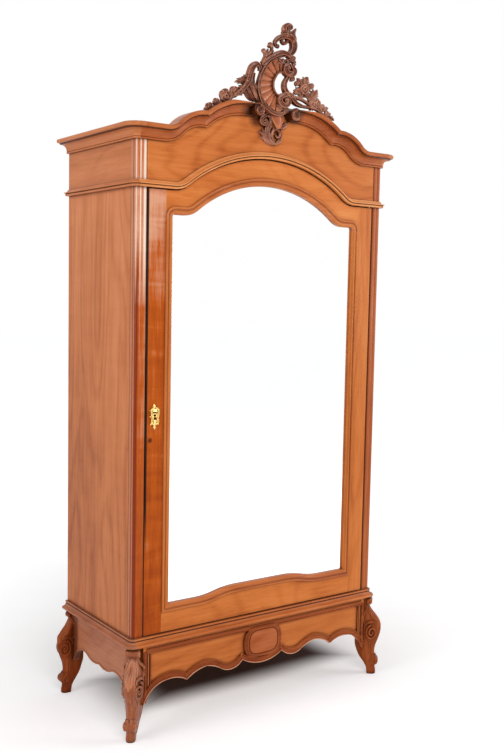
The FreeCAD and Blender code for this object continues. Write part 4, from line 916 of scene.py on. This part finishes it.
def knee_leaf(bm):
    """Fluted acanthus leaf that falls from the top scroll over the knee."""
    steps = 6
    data = new_curve()
    data.bevel_depth = 1.0
    data.bevel_resolution = 3
    for aside, top, foot, wide in ((0, 284, 190, 7), (9, 280, 200, 5), (-9, 280, 200, 5), (16, 272, 210, 4),
                                   (-16, 272, 210, 4)):
        knots = []
        for i in range(steps + 1):
            share = i / steps
            z = top + (foot - top) * share
            v = aside * (0.6 + 0.4 * min(share * 1.6, 1))
            out, half = eased(leg_stations, z, 1), eased(leg_stations, z, 3)
            u = out - nose + nose * math.sqrt(max(1 - (v / half) ** 2, 0.02))
            girth = wide * (0.6 + 2.2 * share * (1 - share)) * (0.3 if i == steps else 1)
            knots.append(((u - girth * 0.72, v, z), girth))
        add_run(data, knots)
    drawn = swept_mesh(data)
    bm.from_mesh(drawn)
    bpy.data.meshes.remove(drawn)


def leg(splay, reach):
    """One cabriole leg in its own place: the knee points along +X, the foot stands on the origin.

    splay is how much of the root's widening it has, and reach is how far out the scrolls on its flanks lie.
    """
    bm = bmesh.new()
    leg_body(bm, splay)
    both_flanks(bm, leg_flank(splay, reach))
    leg_roll(bm, z=56, u=12, radius=17, half=20.5, start=200, turns=-1.6)
    leg_roll(bm, z=305, u=-13, radius=12.5, half=14 + 11 * splay, start=250, turns=1.4)
    leg_collar(bm)
    knee_leaf(bm)
    return bm


def corner_block(bm, side):
    """Block behind a rear leg that the side apron runs into."""
    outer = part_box("side_apron_right")[1].x
    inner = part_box("front_apron")[1].x
    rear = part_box("back_panel")[1].y
    foot, top, deep, soft = 0.125, leg_top * mm, 0.051, 0.0015
    centre = (side * (inner + outer) / 2, rear - deep / 2, (foot + top) / 2)
    made = bmesh.ops.create_cube(bm, size=1, matrix=Matrix.Translation(centre)
                                 @ Matrix.Diagonal((outer - inner, deep, top - foot, 1)))["verts"]
    rims = list({edge for vert in made for edge in vert.link_edges})
    bmesh.ops.bevel(bm, geom=rims, offset=soft, segments=2, profile=0.5, affect="EDGES", material=-1)


def stand(node, turn, foot_x, foot_y):
    """Sets one leg in its corner."""
    rear = "rear" in node
    bm = leg(splay=0, reach=14) if rear else leg(splay=1, reach=1)
    place = Matrix.Translation((foot_x * mm, foot_y, 0)) @ Matrix.Rotation(math.radians(turn), 4, "Z")
    bmesh.ops.transform(bm, matrix=place, verts=bm.verts)
    if rear:
        corner_block(bm, math.copysign(1, foot_x))
    # The front left leg takes the lit copy, the others the shaded copy
    wood = lit_leg_wood if node == "leg_front_left" else shaded_leg_wood
    made_piece(bm, "carved_" + node, wood, "cabinet", "carved_wood", node)


front_foot_x, front_foot_y = 560, door_face - 0.016
rear_foot_x, rear_foot_y = 568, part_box("leg_rear_right")[1].y - 0.0276
for side, name in ((1, "right"), (-1, "left")):
    stand("leg_front_" + name, -45 if side > 0 else -135, side * front_foot_x, front_foot_y)
    stand("leg_rear_" + name, 0 if side > 0 else 180, side * rear_foot_x, rear_foot_y)


# Base, door and mirror


def swung(centre, radius, start, sweep, steps):
    """Points swung about a centre from a starting angle, in so many equal steps."""
    x, z = centre
    angles = [start + sweep * i / steps for i in range(steps + 1)]
    return [(x + radius * math.cos(angle), z + radius * math.sin(angle)) for angle in angles]


def arc_points(a, through, b, count):
    """Points on the arc from a through a middle point to b."""
    (ax, ay), (bx, by), (cx, cy) = a, through, b
    d = 2 * (ax * (by - cy) + bx * (cy - ay) + cx * (ay - by))
    sa, sb, sc = ax * ax + ay * ay, bx * bx + by * by, cx * cx + cy * cy
    ox = (sa * (by - cy) + sb * (cy - ay) + sc * (ay - by)) / d
    oy = (sa * (cx - bx) + sb * (ax - cx) + sc * (bx - ax)) / d
    radius = math.hypot(ax - ox, ay - oy)
    start = math.atan2(ay - oy, ax - ox)
    middle = (math.atan2(by - oy, bx - ox) - start + math.pi) % (2 * math.pi) - math.pi
    end = (math.atan2(cy - oy, cx - ox) - start + math.pi) % (2 * math.pi) - math.pi
    if middle * end < 0:
        end += math.copysign(2 * math.pi, middle)
    return swung((ox, oy), radius, start, end, count - 1)


# Ends and middles of the arcs on the right half of the lower edge, as shares of the half width and the height
scallops = [(1.0, -0.338), (0.914, 0.039), (0.816, 0.143), (0.73, 0.136), (0.654, 0.026), (0.566, 0.188),
            (0.488, 0.237), (0.418, 0.175), (0.371, 0.097), (0.293, 0.01), (0.18, 0.172)]
apron_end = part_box("front_apron")[1]
apron_half, apron_top = (round(size / mm, 3) for size in (apron_end.x, apron_end.z))
apron_low, side_apron_low = 165.0, 174.0
boss_x, boss_z = 2.0, 247.0


def scallop_arcs(raised):
    """Arcs of the front apron's lower edge, raised by so much: right half, middle, left half."""
    tall = apron_top - apron_low
    right = [(apron_half * x, apron_low + raised + tall * z) for x, z in scallops]
    arcs = [(right[i], right[i + 1], right[i + 2]) for i in range(0, len(right) - 2, 2)]
    notch = right[-1]
    arcs.append((notch, (0, apron_low + raised), (-notch[0], notch[1])))
    arcs += [tuple((-x, z) for x, z in run) for run in arcs[:-1]]
    return [arc_points(*run, 9) for run in arcs]


def boss_outline(wide, tall, corner):
    """Points round the boss, an oblong with rounded corners, half sizes given, closed on its first point."""
    points = []
    for across, up, start in ((1, 1, 0), (-1, 1, 90), (-1, -1, 180), (1, -1, 270)):
        x = boss_x + across * (wide - corner)
        z = boss_z + up * (tall - corner)
        points += swung((x, z), corner, math.radians(start), math.pi / 2, 3)
    return points + points[:1]


def raised_field(bm, outline, back, thick, soft):
    """A flat field with an outline of (x, z) points, standing up from its back, its rim rounded over."""
    rim = [bm.verts.new((x * mm, back, z * mm)) for x, z in outline[:-1]]
    plate = bmesh.ops.contextual_create(bm, geom=rim)["faces"]
    grown = bmesh.ops.extrude_face_region(bm, geom=plate)["geom"]
    front = [item for item in grown if isinstance(item, bmesh.types.BMVert)]
    bmesh.ops.translate(bm, verts=front, vec=(0, -thick * mm, 0))
    edges = [edge for edge in bm.edges
             if all(vert in front for vert in edge.verts) and len(edge.link_faces) == 2]
    bmesh.ops.bevel(bm, geom=edges, offset=soft * mm, segments=4, profile=0.5, affect="EDGES", material=-1)


def front_apron_work():
    """Front apron: a hollow band round its field, end fillets, dark strips of painted shade in its end slots,
    painted highlights along its lower edges, and the boss.
    """
    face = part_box("front_apron")[0].y + 0.003
    seat = face + 0.001
    border = Carving(seat)
    for run in scallop_arcs(11.0):
        border.strand(banded, run, (10.6, 10.6), 1.0)
    top_z, top_half = 305, 499
    border.strand(banded, [(-top_half, top_z), (0, top_z), (top_half, top_z)], (9.0, 9.0), 1.0)
    # Dark strips of painted shade in the slots at the apron's ends
    groove_shading = Carving(face + 0.0005)
    for side in (1, -1):
        outer, inner = side * 505.5, side * 483
        border.strand(rounded, [(outer, 140), (outer, 220), (outer, 302)], (5.6, 5.6), 1.2)
        border.strand(rounded, [(inner, 178), (inner, 240), (inner, 298)], (2.4, 2.4), 1.0)
        for x, wide, foot in ((side * 496, 2.4, 162), (side * 488, 1.8, 172)):
            groove_shading.strand(backing, [(x, foot), (x, 240), (x, 297)], (wide, wide), 0.4)
    groove_shading.done("apron_groove_shading", groove_shade_wood, "cabinet", "cherry_wood")
    # Pale strands of painted highlight along the lower edges of the arcs
    arris_highlight = Carving(seat)
    # The first arc, beside the right leg, gets no painted highlight
    for run in scallop_arcs(1.2)[1:]:
        arris_highlight.strand(rounded, run, (0.9, 2.0, 2.0, 2.0, 0.9), 5.0)
    arris_highlight.done("apron_arris_highlight", arris_highlight_wood, "cabinet", "cherry_wood")
    border.strand(rounded, boss_outline(70, 49, 36), (3.0, 3.0), 6.0)
    raised_field(border.bm, boss_outline(86, 59, 46), seat, 6.5, 3.0)
    border.done("apron_border", border_wood, "cabinet", "cherry_wood")
    panel = bmesh.new()
    raised_field(panel, boss_outline(64, 43, 31), face - 0.003, 5.5, 2.0)
    made_piece(panel, "apron_boss", boss_wood, "cabinet", "cherry_wood")


def side_apron_beads():
    """Bead along the lower edge of each side apron, on arcs given as shares of its length and height."""
    raised, sunk = 3.0, 0.001
    edge_z, tall = side_apron_low + raised, apron_top - side_apron_low
    shares = [(0.0, -0.331), (0.1, 0.041), (0.3, 0.048), (0.38, 0.0), (0.5, 0.055)]
    for side, name in ((1, "right"), (-1, "left")):
        lo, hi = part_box("side_apron_" + name)
        length = (hi.y - lo.y) / mm
        first = [(lo.y / mm + share * length, edge_z + tall * rise) for share, rise in shares]
        second = [(hi.y / mm - share * length, edge_z + tall * rise) for share, rise in shares]
        work = Carving(0.0)
        for run in (first[0:3], first[2:5], second[0:3], second[2:5]):
            work.strand(rounded, arc_points(*run, 9), (3.4, 3.4), 0.6)
        outer = hi.x if side > 0 else lo.x
        place = Matrix(((0, -side, 0, outer - side * sunk), (1, 0, 0, 0), (0, 0, 1, 0), (0, 0, 0, 1)))
        bmesh.ops.transform(work.bm, matrix=place, verts=work.bm.verts)
        work.done("side_apron_bead_" + name, side_apron_wood, "cabinet", "cherry_wood")


def keyhole_plate():
    """Cast brass plate of leaf scrolls round the keyhole."""
    work = Carving(door_face)
    lo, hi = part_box("escutcheon")
    x, z = (lo.x + hi.x) / 2 / mm, (lo.z + hi.z) / 2 / mm
    work.strand(rounded, spiral(x, z, 7, 7, -60, 0.84, 16), (2.6, 2.6), 0.6)
    for side in (1, -1):
        rim = [(5, 28), (13, 20), (13, 8), (10, -8), (12, -22), (5, -32)]
        work.strand(rimmed, [(x + side * aside, z + up) for aside, up in rim], (2, 4, 4.5, 4.5, 4, 2), 0.6)
        work.leaf((x + side * 11, z + 10), (x + side * 20, z + 20), 3.6, side * 1.5, 0.5, 1)
        work.leaf((x + side * 11, z - 8), (x + side * 20, z - 2), 3.4, side * 1.5, 0.5, 1)
        work.leaf((x + side * 8, z - 24), (x + side * 16, z - 34), 3.2, side * 1.5, 0.4, 1)
        work.curl(x + side * 9, z + 25, 5, 1.6, 90 + side * 90, side * 1.2, 0.6)
    work.leaf((x, z + 20), (x - 2, z + 40), 5, 1, 0.8, 2)
    work.leaf((x, z - 26), (x + 1, z - 49), 5, -1, 0.8, 2)
    work.strand(rounded, [(x, z + 24), (x, z + 14)], (7, 9), 0.2)
    work.strand(rounded, [(x, z - 14), (x, z - 30)], (8, 5), 0.2)
    work.done("cast_keyhole_plate", plate_brass, "door", "brass", "escutcheon")


def mirror_outline():
    """Outline of the seen glass: shouldered and arched above, a shallow wave below."""
    lo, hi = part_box("mirror_moulding_bottom")
    half, foot_z, flat_z = hi.x, lo.z, 1.841
    shoulder, rise, fillet = 0.074, 0.125, 0.062
    wave_in, wave_half, wave_rise = 0.145, 0.110, 0.022
    inset = 0.024
    quarter = math.pi / 2
    foot_x = half - shoulder
    radius = (foot_x ** 2 + rise ** 2) / (2 * rise) - fillet
    crown_z = flat_z + rise - radius
    turn = math.atan2(foot_x, flat_z + fillet - crown_z)
    corner = swung((foot_x, flat_z + fillet), fillet + inset, -quarter, -turn, 10)
    crown = swung((0, crown_z), radius - inset, quarter - turn, turn, 16)
    wave_z, wave_x = foot_z + inset, half - wave_in
    run = wave_x - wave_half
    bend = (run ** 2 + wave_rise ** 2) / (4 * wave_rise)
    lean = math.asin(run / 2 / bend)
    trough = swung((wave_x, wave_z + bend), bend, -quarter, -lean, 8)
    swell = swung((wave_half, wave_z + wave_rise - bend), bend, quarter - lean, lean, 8)
    upper = [(half - inset, flat_z - inset)] + corner + crown[1:]
    lower = [(half - inset, wave_z)] + trough + swell[1:]
    left = [(-x, z) for x, z in reversed(upper[:-1])] + [(-x, z) for x, z in lower]
    return upper + left + list(reversed(lower))


def bevelled_mirror():
    """Silvered plate with a ground bevel round its edge."""
    bevel_width, bevel_fall = 0.02, 0.0022
    lo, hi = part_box("mirror_plate")
    bm = bmesh.new()
    face = bm.faces.new([bm.verts.new((x, lo.y, z)) for x, z in mirror_outline()])
    bmesh.ops.inset_region(bm, faces=[face], thickness=bevel_width, depth=0.0, use_even_offset=True)
    inner = max(bm.faces, key=lambda part: part.calc_area())
    rim = {vert for part in bm.faces if part is not inner for vert in part.verts} - set(inner.verts)
    solid = bmesh.ops.extrude_face_region(bm, geom=list(bm.faces), use_keep_orig=True)["geom"]
    rear = [item for item in solid if isinstance(item, bmesh.types.BMVert)]
    bmesh.ops.translate(bm, verts=rear, vec=(0, hi.y - lo.y, 0))
    for vert in rim:
        vert.co.y += bevel_fall
    made_piece(bm, "bevelled_mirror", glass, "door", "mirror_glass", "mirror_plate", crease=1)


front_apron_work()
side_apron_beads()
keyhole_plate()
bevelled_mirror()

for drawn in sections:
    bpy.data.objects.remove(drawn)


# Stage


def pale_floor():
    """Matt floor: keeps the shadow, has a deep brown shadow painted under the cabinet, grows white with
    distance.
    """
    finish = Finish("pale_floor")
    left, right, front, back = -0.55, 0.68, -0.11, 0.36
    left_fade, right_fade, depth_fade = 3.0, 5.0, 6.0
    near_white, far_white, far_from = 0.26, 0.34, 0.7
    brown_shade = (0.05, 0.016, 0.008)
    dust = finish.cloud(finish.place, 6.0, 3.0)
    far = ((finish.away_from((0, 0, 0)) - far_from) * 0.5).at_least(0.0).at_most(1.0)
    x, y = finish.sides()[:2]
    # Painted shadow: how deep a point lies in the dark patch under the cabinet; it also dims the floor's glow
    under = ((x - left) * left_fade).at_most((right - x) * right_fade)
    under = under.at_most((y - front) * depth_fade).at_most((back - y) * depth_fade)
    under = under.at_least(0.0).at_most(1.0)
    under = under ** 2.0 * (3.0 - under * 2.0)
    chalk = finish.ramp(dust, [(0.3, (0.93, 0.94, 0.955)), (0.7, (0.96, 0.97, 0.985))])
    glow = finish.seen() * (near_white - under * near_white + far * far_white)
    finish.set(Base_Color=finish.blended(under * 0.96, chalk, brown_shade), Roughness=0.8,
               Specular_IOR_Level=0.0, Emission_Strength=1.0,
               Emission_Color=finish.blended(glow, (0, 0, 0), (1, 1, 1)))
    bm = bmesh.new()
    bmesh.ops.create_grid(bm, x_segments=1, y_segments=1, size=30)
    mesh = bpy.data.meshes.new("floor")
    bm.to_mesh(mesh)
    bm.free()
    mesh.materials.append(finish.material)
    floor = bpy.data.objects.new("floor", mesh)
    scene.collection.objects.link(floor)


def white_room():
    """White where it is seen, and a softer light on everything in it."""
    scene.world = bpy.data.worlds.new("white_room")
    room = Nodes(scene.world, "Background")
    strength = room.node("ShaderNodeMapRange", {}, {"Value": room.seen(), "To Min": 0.42, "To Max": 1.0})
    room.set(Color=(1, 1, 1), Strength=strength.outputs[0])


def lamp(name, place, aim, wide, tall, watts):
    """A soft rectangular lamp, aimed at a point."""
    data = bpy.data.lights.new(name, "AREA")
    data.shape = "RECTANGLE"
    data.size = wide
    data.size_y = tall
    data.energy = watts
    made = bpy.data.objects.new(name, data)
    made.location = place
    made.rotation_euler = (Vector(aim) - Vector(place)).to_track_quat("-Z", "Y").to_euler()
    scene.collection.objects.link(made)


def camera():
    """Stands to the left at eye height, turned to the cabinet, tipped down and rolled a little (radians)."""
    place = (-2.1313, -3.0979, 1.5508)
    turn, pitch, roll = -0.6254, -0.0871, 0.0199
    ahead = Vector((-math.sin(turn) * math.cos(pitch), math.cos(turn) * math.cos(pitch), math.sin(pitch)))
    right = Vector((math.cos(turn), math.sin(turn), 0))
    up = right.cross(ahead)
    level = math.cos(roll) * right + math.sin(roll) * up
    upright = -math.sin(roll) * right + math.cos(roll) * up
    data = bpy.data.cameras.new("camera")
    data.lens = 46.136
    data.sensor_width = 36.0
    made = bpy.data.objects.new("camera", data)
    turned = Matrix((level, upright, -ahead)).transposed().to_4x4()
    made.matrix_world = Matrix.Translation(place) @ turned
    scene.collection.objects.link(made)
    scene.camera = made


pale_floor()
white_room()
lamp("window", (4.4, -2.7, 1.95), (-0.5, -0.2, 1.5), 2.2, 1.85, 90)
lamp("softbox", (-1.6, -4.2, 3.4), (0, 0, 1.0), 2.6, 2.0, 88)
lamp("left_fill", (-4.2, -0.4, 2.2), (0, 0.1, 1.1), 2.0, 2.4, 54)
camera()
scene.view_settings.view_transform = "Standard"
